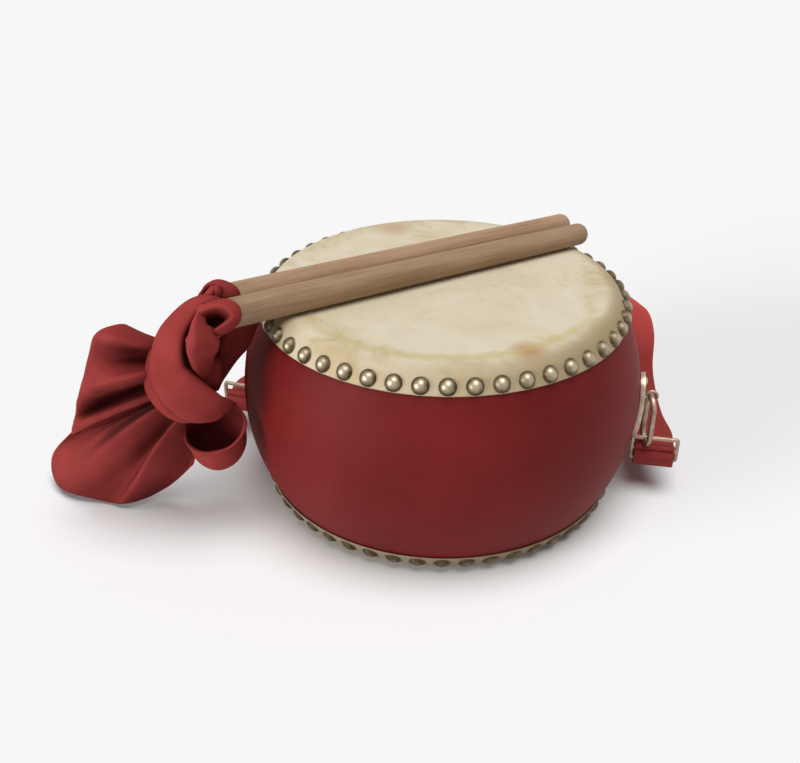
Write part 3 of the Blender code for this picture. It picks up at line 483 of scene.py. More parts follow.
def threads(tree, along, across):
    """A plain weave with threads this far apart along and across the cloth, on its own UV map in metres."""
    flat = add_node(tree, "UVMap", uv_map="weave")
    waves = []
    for axis, pitch in (("Y", along), ("X", across)):
        wave = add_node(tree, "TexWave", {"Vector": flat, "Scale": WAVE_LENGTH / pitch}, bands_direction=axis)
        waves.append(wave.outputs["Fac"])
    return add_node(tree, "Math", waves, operation="MULTIPLY")


def satin_lacquer(finishes):
    """Red lacquer brushed over turned wood: a deep, even red with faint lathe lines and a soft sheen."""
    material, tree, place = new_material("satin lacquer on turned wood")
    # Thicker and thinner lacquer, in clouds 60 mm across
    clouds = add_node(tree, "TexNoise", {"Vector": place, "Scale": 1 / (60 * MM), "Detail": 5})
    # Lathe lines 2.5 mm apart, long round the drum
    lines = streaks(tree, place, (120 * MM, 120 * MM, 2.5 * MM), 3)
    both = add_node(tree, "Mix", {0: 0.12, 2: clouds, 3: lines})
    thin = add_node(tree, "MapRange", (both, 0.35, 0.65))
    # No sheen on the sash's side, and a little on the rest
    split = add_node(tree, "SeparateXYZ", (place,)).outputs
    surface = {
        "Roughness": add_node(tree, "MapRange", (clouds, 0.3, 0.7, 0.55, 0.62)),
        "Normal": add_node(tree, "Bump", {"Height": lines, "Strength": 0.02, "Distance": 0.4 * MM}),
        "Specular IOR Level": add_node(tree, "MapRange", (split["X"], -120 * MM, -70 * MM, 0, 0.12)),
    }
    return finish_material(material, finishes.lacquer_deep, [(thin, finishes.lacquer)], surface)


def rust_stain(tree, place, ragged, centre, radius, strength):
    """How strong a stain is here: full at its centre and none past its radius, with a ragged edge."""
    away = add_node(tree, "VectorMath", (place, [c * MM for c in centre]), operation="DISTANCE")
    reach = add_node(tree, "Math", (ragged, radius * MM, away), operation="MULTIPLY_ADD")
    fade = (reach, 1.6 * radius * MM, 0.5 * radius * MM, 0, strength)
    return add_node(tree, "MapRange", fade, **EASED)


def scraped_rawhide(finishes):
    """Rawhide scraped and stretched wet: creamy, clouded and matt, yellowed and stained towards its edge, with
    painted shade on its skirt.
    """
    material, tree, place = new_material("scraped rawhide")
    split = add_node(tree, "SeparateXYZ", (place,)).outputs
    flat = add_node(tree, "VectorMath", (place, (1, 1, 0)), operation="MULTIPLY")
    reach = add_node(tree, "VectorMath", (flat,), operation="LENGTH")
    # Cloudy patches 45 mm across
    pattern = {"Vector": place, "Scale": 1 / (45 * MM), "Detail": 6, "Roughness": 0.6, "Distortion": 0.6}
    clouds = add_node(tree, "MapRange", (add_node(tree, "TexNoise", pattern), 0.38, 0.68))
    # Stains 25 mm across, thickest where the hide rolls over the rim
    pattern = {"Vector": place, "Scale": 1 / (25 * MM), "Detail": 7, "Roughness": 0.65, "Distortion": 1.2}
    blots = add_node(tree, "TexNoise", pattern)
    edge = add_node(tree, "MapRange", (reach, 80 * MM, 100 * MM, 0.06, 0.2), **EASED)
    thick = add_node(tree, "Math", (blots, edge), operation="ADD")
    stains = add_node(tree, "MapRange", (thick, 0.6, 0.92, 0, 0.75), **EASED)
    layers = [(clouds, finishes.hide_cloud), (stains, finishes.hide_stain)]
    layers += [(rust_stain(tree, place, blots, *stain), finishes.hide_rust) for stain in RUST_STAINS]
    # A yellow-green line 9 mm wide, where the hide starts to bend at the front
    ragged = add_node(tree, "Math", (blots, 8 * MM, reach), operation="MULTIPLY_ADD")
    off = add_node(tree, "Math", (ragged, 98 * MM), operation="SUBTRACT")
    off = add_node(tree, "Math", (off,), operation="ABSOLUTE")
    line = add_node(tree, "MapRange", (off, 5 * MM, 1 * MM))
    front = add_node(tree, "MapRange", (split["Y"], -30 * MM, -70 * MM, 0, 0.55))
    layers.append((add_node(tree, "Math", (line, front), operation="MULTIPLY"), finishes.hide_olive))
    # Where the hide bends over the rim the skirt is browner: partly aged hide, partly painted shade, which
    # grows towards the side of the right strap ring
    shade_to_right = add_node(tree, "MapRange", (split["X"], -90 * MM, 70 * MM, 0.35, 0.95))
    skirt = add_node(tree, "MapRange", (reach, 96 * MM, 106 * MM, 0, shade_to_right), **EASED)
    layers.append((skirt, finishes.hide_skirt_and_shade))
    # Painted shade: the lower skirt is grey-brown, darker towards the floor
    foot = add_node(tree, "MapRange", (split["Z"], 24 * MM, 15 * MM, 0, 0.85))
    layers.append((foot, finishes.hide_foot_shade))
    # Pores 0.8 mm apart over soft ripples 18 mm across
    ripples = add_node(tree, "TexNoise", {"Vector": place, "Scale": 1 / (18 * MM), "Detail": 2})
    soft = add_node(tree, "Bump", {"Height": ripples, "Strength": 0.25, "Distance": 1.2 * MM})
    pores = add_node(tree, "TexNoise", {"Vector": place, "Scale": 1 / (0.8 * MM), "Detail": 2})
    relief = {"Height": pores, "Strength": 0.12, "Distance": 0.2 * MM, "Normal": soft}
    surface = {
        "Roughness": add_node(tree, "MapRange", (blots, 0.3, 0.7, 0.5, 0.66)),
        "Normal": add_node(tree, "Bump", relief),
        "Specular IOR Level": 0.35,
    }
    return finish_material(material, finishes.hide, layers, surface)


def antique_brass(name, bright, patina, rubbed):
    """Pressed brass with a brown patina: rubbed bright on its crowns, where the tacks also get a painted
    highlight, dark and rougher in its hollows.
    """
    material, tree, place = new_material(name)
    # Patina in spots 4 mm across
    pattern = {"Vector": place, "Scale": 1 / (4 * MM), "Detail": 5, "Roughness": 0.65}
    spots = add_node(tree, "TexNoise", pattern)
    uneven = add_node(tree, "MapRange", (spots, 0.25, 0.75, -0.3, 0.3))
    # A tack's crown is lighter from wear and a painted highlight, and the lower tacks' crowns less, as painted
    # shade
    crown_wear_and_highlight = add_node(tree, "Attribute", attribute_name="crown_wear_and_highlight").outputs["Fac"]
    shown = add_node(tree, "Math", (crown_wear_and_highlight, rubbed), operation="MAXIMUM")
    shown = add_node(tree, "Math", (shown, uneven), operation="ADD", use_clamp=True)
    surface = {
        "Roughness": add_node(tree, "MapRange", (shown, 0, 1, 0.55, 0.34)),
        "Normal": add_node(tree, "Bump", {"Height": spots, "Strength": 0.08, "Distance": 0.3 * MM}),
        "Metallic": 1.0,
    }
    return finish_material(material, patina, [(shown, bright)], surface)


def drawn_steel(finishes):
    """Steel of the stamped washers: grey, with a satin gleam and a little grime."""
    material, tree, place = new_material("drawn steel")
    # Grime in spots 3 mm across
    spots = add_node(tree, "TexNoise", {"Vector": place, "Scale": 1 / (3 * MM), "Detail": 4})
    clean = add_node(tree, "MapRange", (spots, 0.3, 0.7, 0.6, 1.0))
    grimy = add_node(tree, "VectorMath", {0: finishes.steel[:3], "Scale": clean}, operation="SCALE")
    surface = {"Roughness": add_node(tree, "MapRange", (spots, 0, 1, 0.55, 0.3)), "Metallic": 1.0}
    return finish_material(material, grimy, [], surface)


def sanded_wood(name, wood, deep, pore):
    """Bare hardwood, turned and sanded: pale brown with fine short grain along the stick and no varnish."""
    material, tree, place = new_material(name)
    # Grain 45 mm long and 1.6 mm wide, broad tones 60 mm long, and pores 7 mm long, all along the stick
    grain = streaks(tree, place, (45 * MM, 1.6 * MM, 1.6 * MM), 4, STICK_HEADING, 0.6)
    broad = streaks(tree, place, (60 * MM, 12 * MM, 12 * MM), 3, STICK_HEADING)
    pores = streaks(tree, place, (7 * MM, 0.6 * MM, 0.6 * MM), 2, STICK_HEADING)
    both = add_node(tree, "Mix", {0: 0.45, 2: grain, 3: broad})
    pale = add_node(tree, "MapRange", (both, 0.32, 0.66))
    pored = add_node(tree, "MapRange", (pores, 0.62, 0.75, 0, 0.4))
    surface = {
        "Roughness": 0.62,
        "Normal": add_node(tree, "Bump", {"Height": grain, "Strength": 0.15, "Distance": 0.25 * MM}),
        "Specular IOR Level": 0.3,
    }
    return finish_material(material, deep, [(pale, wood), (pored, pore)], surface)


def woven_webbing(finishes):
    """Polyester webbing: close ribs across a flat band, with a slight sheen on its threads and painted shade
    on its ends.
    """
    material, tree, place = new_material("woven polyester webbing")
    # Ribs 1.5 mm apart across the band and threads 1.2 mm apart along it
    weave = threads(tree, 1.5 * MM, 1.2 * MM)
    raised = add_node(tree, "MapRange", (weave, 0, 1, 0.35, 1.0))
    # Painted shade on the ends where they run through the sliders: low down, and in front of the hanging loop
    split = add_node(tree, "SeparateXYZ", (place,)).outputs
    low = add_node(tree, "MapRange", (split["Z"], 66 * MM, 42 * MM))
    near = add_node(tree, "MapRange", (split["Y"], 85 * MM, 55 * MM))
    end_shade = add_node(tree, "Math", (low, near), operation="MULTIPLY")
    layers = [(raised, finishes.webbing), (end_shade, finishes.webbing_end_shade)]
    surface = {
        "Roughness": 0.6,
        "Normal": add_node(tree, "Bump", {"Height": weave, "Strength": 0.35, "Distance": 0.25 * MM}),
        "Specular IOR Level": 0.15,
    }
    return finish_material(material, finishes.webbing_deep, layers, surface)


def sash_cotton(finishes):
    """Plain-woven red cotton: matt, with a fine weave, faint rubbed patches and painted shade in its folds."""
    material, tree, place = new_material("plain-woven cotton")
    # Threads are about 0.4 mm apart, drawn 0.9 mm apart so that they show
    weave = threads(tree, 0.9 * MM, 0.9 * MM)
    # Rubbed patches 30 mm across
    pattern = {"Vector": place, "Scale": 1 / (30 * MM), "Detail": 4, "Roughness": 0.6}
    both = add_node(tree, "Mix", {0: 0.18, 2: add_node(tree, "TexNoise", pattern), 3: weave})
    rubbed = add_node(tree, "MapRange", (both, 0.25, 0.65))
    # Painted shade: the cloth is darker inside the folds, which see less than the cloth 30 mm round them
    around = add_node(tree, "AmbientOcclusion", {"Distance": 30 * MM}, samples=8).outputs["AO"]
    folded = add_node(tree, "MapRange", (around, 0.3, 1.0, 1, 0))
    layers = [(rubbed, finishes.cloth), (folded, finishes.cloth_fold_shade)]
    # Small creases 9 mm across under the weave
    creases = add_node(tree, "TexNoise", {"Vector": place, "Scale": 1 / (9 * MM), "Detail": 2})
    soft = add_node(tree, "Bump", {"Height": creases, "Strength": 0.2, "Distance": 0.8 * MM})
    relief = {"Height": weave, "Strength": 0.12, "Distance": 0.15 * MM, "Normal": soft}
    surface = {"Roughness": 0.85, "Normal": add_node(tree, "Bump", relief), "Specular IOR Level": 0.08}
    return finish_material(material, finishes.cloth_deep, layers, surface)


def studio_floor(finishes):
    """A seamless paper floor: pale and matt, so that it only takes the soft shadow."""
    material, tree, place = new_material("seamless paper")
    # Paper fibre 2 mm across
    fibre = add_node(tree, "TexNoise", {"Vector": place, "Scale": 1 / (2 * MM), "Detail": 2})
    matt = add_node(tree, "MapRange", (fibre, 0, 1, 0.9, 1.0))
    return finish_material(material, finishes.floor, [], {"Roughness": matt, "Specular IOR Level": 0.0})


def pale_studio(stage, finishes):
    """A world that lights from all round, and shows the floor's colour to the camera and in reflections."""
    world = bpy.data.worlds.new("pale studio")
    world.use_nodes = True
    tree = world.node_tree
    tree.nodes.clear()
    ray = add_node(tree, "LightPath").outputs
    mirror = add_node(tree, "Math", (ray["Is Glossy Ray"], ray["Is Transmission Ray"]), operation="MAXIMUM")
    seen = add_node(tree, "Math", (ray["Is Camera Ray"], mirror), operation="MAXIMUM")
    ambient = add_node(tree, "Background", {"Color": (1, 1, 1, 1), "Strength": stage.ambient})
    backdrop = add_node(tree, "Background", {"Color": finishes.floor, "Strength": 1.0})
    add_node(tree, "OutputWorld", {"Surface": add_node(tree, "MixShader", (seen, ambient, backdrop))})
    return world


def select_only(*objects):
    """Selects these objects alone and makes the first of them active."""
    bpy.ops.object.select_all(action="DESELECT")
    for obj in objects:
        obj.select_set(True)
    bpy.context.view_layer.objects.active = objects[0]


def modify(obj, kind, **settings):
    """Adds a modifier with its settings."""
    modifier = obj.modifiers.new(kind.title(), kind)
    for key, value in settings.items():
        setattr(modifier, key, value)


def apply_modifiers(obj):
    """Puts all modifiers into the object's mesh, in their order."""
    select_only(obj)
    for modifier in list(obj.modifiers):
        bpy.ops.object.modifier_apply(modifier=modifier.name)


def settle(obj, matrix):
    """Puts the object's place into its mesh."""
    obj.matrix_world = matrix
    select_only(obj)
    bpy.ops.object.transform_apply(location=True, rotation=True, scale=True)


def finish_piece(obj, material, body, slot, *nodes, smooth_all=False):
    """Gives a piece its finish and smooth shading, hangs it on the body it rides on, and hides the CAD nodes
    it stands for.
    """
    obj.data.materials.clear()
    obj.data.materials.append(material)
    select_only(obj)
    if smooth_all:
        bpy.ops.object.shade_smooth()
    else:
        bpy.ops.object.shade_smooth_by_angle(angle=SHARP_ANGLE)
    if body:
        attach(obj, body)
    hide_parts(*nodes)
    return obj


def drawn_line(name, points, closed=False):
    """A line through the points, drawn by extruding one point after another."""
    bpy.ops.object.select_all(action="DESELECT")
    bpy.ops.mesh.primitive_plane_add(size=1)
    obj = bpy.context.object
    obj.name = name
    obj.data.name = name
    bpy.ops.object.mode_set(mode="EDIT")
    bpy.ops.mesh.merge(type="CENTER")
    bpy.ops.transform.translate(value=points[0])
    for start, end in zip(points, points[1:]):
        bpy.ops.mesh.extrude_vertices_move(TRANSFORM_OT_translate={"value": Vector(end) - Vector(start)})
    if closed:
        mesh = bmesh.from_edit_mesh(obj.data)
        mesh.verts.ensure_lookup_table()
        mesh.verts[0].select_set(True)
        bpy.ops.mesh.edge_face_add()
    bpy.ops.object.mode_set(mode="OBJECT")
    return obj


def clean_mesh(obj):
    """Merges doubles, deletes loose points and points the faces outwards."""
    select_only(obj)
    bpy.ops.object.mode_set(mode="EDIT")
    bpy.ops.mesh.select_all(action="SELECT")
    bpy.ops.mesh.remove_doubles(threshold=MERGE)
    bpy.ops.mesh.delete_loose()
    bpy.ops.mesh.select_all(action="SELECT")
    bpy.ops.mesh.normals_make_consistent(inside=False)
    bpy.ops.object.mode_set(mode="OBJECT")


def turned(name, profile, steps, closed=False):
    """A profile of (radius, height) points turned round Z."""
    obj = drawn_line(name, [(radius, 0, height) for radius, height in profile], closed)
    modify(obj, "SCREW", steps=steps, render_steps=steps, use_merge_vertices=True, merge_threshold=MERGE)
    apply_modifiers(obj)
    clean_mesh(obj)
    return obj


def wire(name, points, radius, closed=False):
    """A round wire along the points."""
    select_only(drawn_line(name, points, closed))
    bpy.ops.object.convert(target="CURVE")
    curve = bpy.context.object.data
    curve.bevel_depth = radius
    curve.bevel_resolution = 4
    curve.use_fill_caps = True
    bpy.ops.object.convert(target="MESH")
    obj = bpy.context.object
    clean_mesh(obj)
    return obj


def smooth_through(points, count):
    """This many points along a smooth curve through the given ones."""
    points = np.asarray(points, float)
    ends = np.concatenate([2 * points[:1] - points[1:2], points, 2 * points[-1:] - points[-2:-1]])
    places = np.linspace(0, len(points) - 1, count)
    spans = np.minimum(places.astype(int), len(points) - 2)
    t = (places - spans).reshape((-1,) + (1,) * (points.ndim - 1))
    a, b, c, d = (ends[spans + k] for k in range(4))
    return 0.5 * (2 * b + (c - a) * t + (2 * a - 5 * b + 4 * c - d) * t**2 + (3 * b - a - 3 * c + d) * t**3)


def smooth_table(table, rows, columns):
    """A table of values spread smoothly over more rows and columns."""
    across = smooth_through(np.asarray(table, float).T, columns).T
    return smooth_through(across, rows)


def unit(vectors):
    """The vectors at length 1."""
    vectors = np.asarray(vectors, float)
    return vectors / np.linalg.norm(vectors, axis=-1, keepdims=True)


def square_to(vectors, along):
    """The vectors at length 1, with what runs along the other ones taken out."""
    return unit(vectors - along * np.sum(vectors * along, axis=1, keepdims=True))


def steps_along(points):
    """Distance from the first point to each, along the line."""
    return np.concatenate([[0], np.cumsum(np.linalg.norm(np.diff(points, axis=0), axis=1))])


def woven_sheet(name, grid, thickness, tube=False, start=0.0, refine=1, drop=None):
    """A grid of points as cloth of this thickness, with a UV map of its weave in metres.

    A tube closes round its columns. Start is where the weave begins, and drop says which places stay open.
    """
    rows, columns = grid.shape[:2]
    spans = columns if tube else columns - 1
    middle = grid[rows // 2]
    across = steps_along(np.concatenate([middle, middle[:1]]) if tube else middle)
    along = start + steps_along(grid[:, columns // 2])
    faces, corners = [], []
    for i in range(rows - 1):
        for j in range(spans):
            k = (j + 1) % columns
            face = (i * columns + j, i * columns + k, (i + 1) * columns + k, (i + 1) * columns + j)
            if drop is not None and drop(np.mean([grid[c // columns, c % columns] for c in face], axis=0)):
                continue
            faces.append(face)
            corners += [(across[j], along[i]), (across[j + 1], along[i])]
            corners += [(across[j + 1], along[i + 1]), (across[j], along[i + 1])]
    mesh = bpy.data.meshes.new(name)
    mesh.from_pydata([tuple(point) for point in grid.reshape(-1, 3)], [], faces)
    weave = mesh.uv_layers.new(name="weave")
    weave.data.foreach_set("uv", np.array(corners, np.float32).ravel())
    obj = bpy.data.objects.new(name, mesh)
    bpy.context.scene.collection.objects.link(obj)
    clean_mesh(obj)
    modify(obj, "SOLIDIFY", thickness=thickness, offset=0)
    if refine:
        modify(obj, "SUBSURF", levels=refine, render_levels=refine)
    apply_modifiers(obj)
    return obj


def rumpled(grid, size, depth):
    """The grid with small soft rumples of this size and depth, in metres, along its normals."""
    normals = unit(np.cross(np.gradient(grid, axis=0), np.gradient(grid, axis=1)) + 1e-15)
    lift = np.array([[noise.noise(Vector(point / size)) for point in row] for row in grid])
    return grid + normals * lift[..., None] * depth


def on_barrel(drum, angle, out=0.0):
    """(radius, height) on the side arc at this angle above the belly line, this far outside the shell."""
    reach = drum.side_arc + out
    return (drum.belly_radius - drum.side_arc + reach * cos(angle), drum.height / 2 + reach * sin(angle))


def rim_arc(drum, out, steps):
    """(radius, height) points round the rim, from the flat end to the side, this far outside the shell."""
    top = drum.height - drum.hide - GAP
    radius, height = on_barrel(drum, RIM_ANGLE)
    bend = (top - height) / (1 - sin(RIM_ANGLE))
    centre = (radius - bend * cos(RIM_ANGLE), top - bend)
    points = []
    for step in range(steps + 1):
        angle = pi / 2 + (RIM_ANGLE - pi / 2) * step / steps
        points.append((centre[0] + (bend + out) * cos(angle), centre[1] + (bend + out) * sin(angle)))
    return points


def make_shell(drum, material):
    """The turned barrel with its hollow."""
    side_steps = 15
    upper = [(END_BORE, drum.height - drum.hide - GAP)] + rim_arc(drum, 0, steps=8)
    upper += [on_barrel(drum, RIM_ANGLE * (1 - step / side_steps)) for step in range(1, side_steps)]
    lower = [(radius, drum.height - height) for radius, height in reversed(upper)]
    bore = [(BELLY_BORE, drum.height / 2 + sign * BORE_HALF_HEIGHT) for sign in (-1, 1)]
    shell = turned("shell", upper + [on_barrel(drum, 0)] + lower + bore, SHELL_STEPS, closed=True)
    return finish_piece(shell, material, "drum", "red_lacquer", "drum_shell")


def hide_line(drum, out, top):
    """One face of the top hide, from its middle out over the rim and down towards its hem."""
    flat_steps, hem_steps = 10, 6
    rim = rim_arc(drum, out, steps=12)
    points = [(rim[0][0] * step / flat_steps, top) for step in range(flat_steps)] + rim
    for step in range(1, hem_steps + 1):
        points.append(on_barrel(drum, RIM_ANGLE + (HEM_ANGLE - RIM_ANGLE) * step / hem_steps, out))
    return points


def make_hide(drum, end, material):
    """A hide stretched over one end, drawn in under each tack and standing out a little between them."""
    outer = hide_line(drum, drum.hide + GAP, drum.height)
    inner = hide_line(drum, GAP, drum.height - drum.hide)
    edge = on_barrel(drum, HEM_ANGLE - HEM_CURL, GAP + drum.hide / 2)
    hide = turned(end + "_hide", outer + [edge] + inner[::-1], HIDE_STEPS_PER_TACK * drum.tacks)
    shoulder = drum.height - PUCKER_BELOW_TOP
    for vert in hide.data.vertices:
        x, y, z = vert.co
        turn = np.arctan2(y, x) - DRUM_TURN
        between = 0.5 + 0.5 * cos(drum.tacks * turn)
        low = min(1, max(0, (shoulder - z) / PUCKER_FADE))
        pull = noise.noise(Vector((cos(turn), sin(turn), 0)) * PULL_WAVES)
        out = low * (PUCKER_OUT * between + PULL_OUT * pull)
        radius = sqrt(x * x + y * y)
        if radius > 1 * MM:
            vert.co.x += out * x / radius
            vert.co.y += out * y / radius
        vert.co.z += low * (PUCKER_UP * between - PULL_DOWN * low * pull)
    if end == "bottom":
        settle(hide, Matrix.Translation((0, 0, drum.height)) @ Matrix.Rotation(pi, 4, "X"))
    return finish_piece(hide, material, "drum", "hide", end + "_head")


def make_tacks(drum, end, material):
    """One domed tack, copied round the end."""
    dome = drum.top_dome if end == "top" else drum.bottom_dome
    width = drum.tack_radius
    ball = (width**2 + dome**2) / (2 * dome)
    spread = asin(width / ball)
    dome_steps = 6
    profile = []
    for step in range(dome_steps + 1):
        angle = spread * step / dome_steps
        profile.append((ball * sin(angle), dome - ball * (1 - cos(angle))))
    profile += [(width * TACK_LIP, TACK_LIP_Z), (width * TACK_FOOT, TACK_FOOT_Z), (0, TACK_FOOT_Z)]
    tack = turned(end + "_tacks_visual", profile, TACK_STEPS)
    # Wear and a painted highlight, brightest at the crown and fading down the dome, with the lower tacks
    # dimmer as painted shade
    crown_wear_and_highlight = tack.data.attributes.new("crown_wear_and_highlight", "FLOAT", "POINT")
    for vert, value in zip(tack.data.vertices, crown_wear_and_highlight.data):
        value.value = CROWN_WEAR_HIGHLIGHT_AND_SHADE[end] * min(1, max(0, vert.co.z / dome)) ** WEAR_AND_HIGHLIGHT_FADE
    radius, height = on_barrel(drum, TACK_ANGLE, drum.hide + GAP + TACK_LIFT)
    up = 1 if end == "top" else -1
    level = drum.height / 2 + up * (height - drum.height / 2)
    copies = []
    for i in range(drum.tacks):
        copy = tack.copy()
        copy.data = tack.data.copy()
        bpy.context.scene.collection.objects.link(copy)
        spin = Matrix.Rotation(DRUM_TURN + (i + 0.5) * 2 * pi / drum.tacks, 4, "Z")
        tilt = Matrix.Rotation(pi / 2 - up * TACK_ANGLE, 4, "Y")
        copy.matrix_world = spin @ Matrix.Translation((radius, 0, level)) @ tilt
        copies.append(copy)
    bpy.data.objects.remove(tack)
    select_only(*copies)
    bpy.ops.object.join()
    row = bpy.context.object
    row.name = end + "_tack_row"
    bpy.ops.object.transform_apply(location=True, rotation=True, scale=True)
    return finish_piece(row, material, "drum", "tack_brass", end + "_tacks")


def side_frame(side):
    """The frame of one side's fittings: x out of the drum, y round it, z up."""
    return Matrix.Rotation(AZIMUTHS[side], 4, "Z")


def flat_grid(name, columns, rows):
    """A flat grid of faces from -1 to 1 each way, to be shaped."""
    bpy.ops.object.select_all(action="DESELECT")
    bpy.ops.mesh.primitive_grid_add(x_subdivisions=columns, y_subdivisions=rows, size=2)
    obj = bpy.context.object
    obj.name = name
    return obj


def make_plate(side, strap, shell, material):
    """An oval plate, drawn flat, pressed onto the shell and given its thickness."""
    plate = flat_grid(side + "_plate", 32, 14)
    half = strap.plate_width / 2
    for vert in plate.data.vertices:
        across = half * sin(vert.co.y * pi / 2)
        reach = strap.plate_height / 2 - half + sqrt(max(0, half**2 - across**2))
        vert.co = (vert.co.x * reach, across, 0)
    flat = Matrix.Translation((PLATE_START_X, 0, PLATE_CENTRE_Z)) @ Matrix.Rotation(pi / 2, 4, "Y")
    plate.matrix_world = side_frame(side) @ flat
    press = {"wrap_method": "PROJECT", "use_positive_direction": True, "use_negative_direction": True}
    modify(plate, "SHRINKWRAP", target=shell, offset=GAP, use_project_z=True, **press)
    modify(plate, "SOLIDIFY", thickness=strap.plate, offset=1)
    modify(plate, "BEVEL", width=PLATE_EDGE, segments=4, limit_method="ANGLE")
    apply_modifiers(plate)
    settle(plate, plate.matrix_world.copy())
    return finish_piece(plate, material, "drum", "strap_brass", side + "_ring_plate")


def make_nail(side, place, sign, drum, strap, material):
    """A round-headed nail through the plate, square to the shell."""
    head = GAP + strap.plate
    profile = [(radius * MM, head + height * MM) for radius, height in NAIL_HEAD]
    profile += [(NAIL_RADIUS, head), (NAIL_RADIUS, NAIL_POINT - NAIL_LENGTH), (0, -NAIL_LENGTH)]
    nail = turned(f"{side}_{place}_plate_nail", profile, NAIL_STEPS)
    height = PLATE_CENTRE_Z + sign * NAIL_SPREAD
    angle = asin((height - drum.height / 2) / drum.side_arc)
    radius, level = on_barrel(drum, angle)
    square = Matrix.Translation((radius, 0, level)) @ Matrix.Rotation(pi / 2 - angle, 4, "Y")
    settle(nail, side_frame(side) @ square)
    return finish_piece(nail, material, "drum", "strap_brass", f"{side}_{place}_nail")


def make_split_pin(side, material):
    """One wire: an eye outside the plate, two legs through the wall, and their ends spread inside."""
    neck = sqrt(EYE_RADIUS**2 - PIN_LEG_OFFSET**2)
    leg = [(WASHER_INSIDE + x * MM, z * MM) for x, z in PIN_LEG]
    start = pi - PIN_LEG_OFFSET / EYE_RADIUS
    steps = 28
    eye = [(EYE_X - neck, PIN_LEG_OFFSET)]
    for step in range(1, steps):
        angle = start - 2 * start * step / steps
        eye.append((EYE_X + EYE_RADIUS * cos(angle), EYE_RADIUS * sin(angle)))
    eye.append((EYE_X - neck, -PIN_LEG_OFFSET))
    route = leg + eye + [(x, -z) for x, z in reversed(leg)]
    pin = wire(side + "_pin", [(x, 0, PIN_Z + z) for x, z in route], PIN_WIRE)
    settle(pin, side_frame(side))
    return finish_piece(pin, material, "drum", "strap_brass", side + "_split_pin", smooth_all=True)


def make_ring(side, material):
    """A flattened oval link, drawn in its own plane and hung in the pin's eye."""
    low = RING_DROP - RING_HALF_WIDTH
    steps = 16
    points = []
    for middle, first in ((-RING_HALF_WIDTH, 0), (-low, pi)):
        for step in range(steps + 1):
            angle = first + pi * step / steps
            points.append((RING_HALF_WIDTH * cos(angle), middle + RING_HALF_WIDTH * sin(angle), 0))
    ring = wire(side + "_link", points, RING_WIRE, closed=True)
    bpy.ops.object.mode_set(mode="EDIT")
    bpy.ops.mesh.select_all(action="SELECT")
    bpy.ops.transform.resize(value=(1, 1, RING_DEPTH), center_override=(0, 0, 0))
    bpy.ops.object.mode_set(mode="OBJECT")
    # Its own x runs round the drum, its y up, and its z out
    upright = Matrix(((0, 0, 1, 0), (1, 0, 0, 0), (0, 1, 0, 0), (0, 0, 0, 1)))
    hung = Matrix.Translation((EYE_X, 0, RING_TOP_Z)) @ Matrix.Rotation(RING_TWIST, 4, "Z")
    settle(ring, side_frame(side) @ hung @ upright)
    return finish_piece(ring, material, side + "_ring_link", "strap_brass", side + "_ring", smooth_all=True)


def make_slider(side, strap, material):
    """A three-bar slider: a plate of bars with two slots, thickened and with rounded edges."""
    half, slot, bar = strap.slider_width / 2, SLIDER_SLOT / 2, SLIDER_BAR / 2
    columns = (-half, -slot, slot, half)
    rows = []
    for middle in (-2 * SLIDER_PITCH, -SLIDER_PITCH, 0):
        rows += [middle - bar, middle + bar]
    across, upwards = len(columns) - 1, len(rows) - 1
    slider = flat_grid(side + "_strap_slider", across, upwards)
    for vert in slider.data.vertices:
        column = round((vert.co.x + 1) / 2 * across)
        row = round((vert.co.y + 1) / 2 * upwards)
        vert.co = (columns[column], rows[row], 0)
    bpy.ops.object.mode_set(mode="EDIT")
    mesh = bmesh.from_edit_mesh(slider.data)
    # The slots are the middle faces that are larger than a bar
    for face in mesh.faces:
        middle = face.calc_center_median()
        face.select_set(abs(middle.x) < slot / 2 and face.calc_area() > SLIDER_SLOT * SLIDER_BAR * 1.5)
    bpy.ops.mesh.delete(type="FACE")
    # Its four outer corners are rounded
    top, low = max(rows), min(rows)
    for vert in mesh.verts:
        vert.select_set(abs(vert.co.x) > slot * 1.05 and not low < vert.co.y < top)
    bpy.ops.mesh.bevel(offset=SLIDER_CORNER, segments=5, affect="VERTICES")
    bpy.ops.object.mode_set(mode="OBJECT")
    modify(slider, "SOLIDIFY", thickness=SLIDER_THICKNESS, offset=0)
    modify(slider, "BEVEL", width=SLIDER_EDGE, segments=4, limit_method="ANGLE")
    apply_modifiers(slider)
    upright = Matrix.Translation((SLIDER_X, 0, SLIDER_TOP_Z)) @ Matrix.Rotation(pi / 2, 4, "X")
    settle(slider, side_frame(side) @ upright)
    return finish_piece(slider, material, side + "_strap_end", "strap_brass", side + "_slider")


def band_rows(centres, edges, strap):
    """Rows of points across a band along the centres, with its width towards the edge directions."""
    across = square_to(edges, unit(np.gradient(centres, axis=0)))
    places = np.linspace(-0.5, 0.5, BAND_COLUMNS) * (strap.width - BAND_TRIM)
    return centres[:, None] + across[:, None] * places[None, :, None]


def webbing(name, rows, strap, start=0.0):
    """A band of webbing over rows of points. Its long edges are rounded and its cut ends are left flush."""
    band = woven_sheet(name, rows, strap.webbing, start=start, refine=0)
    weights = band.data.attributes.new("bevel_weight_edge", "FLOAT", "EDGE")
    for edge in band.data.edges:
        low, high = sorted(edge.vertices)
        if high - low == BAND_COLUMNS and low % BAND_COLUMNS in (0, BAND_COLUMNS - 1):
            weights.data[edge.index].value = 1.0
    modify(band, "BEVEL", width=BAND_EDGE, segments=2, limit_method="WEIGHT")
    apply_modifiers(band)
    return band


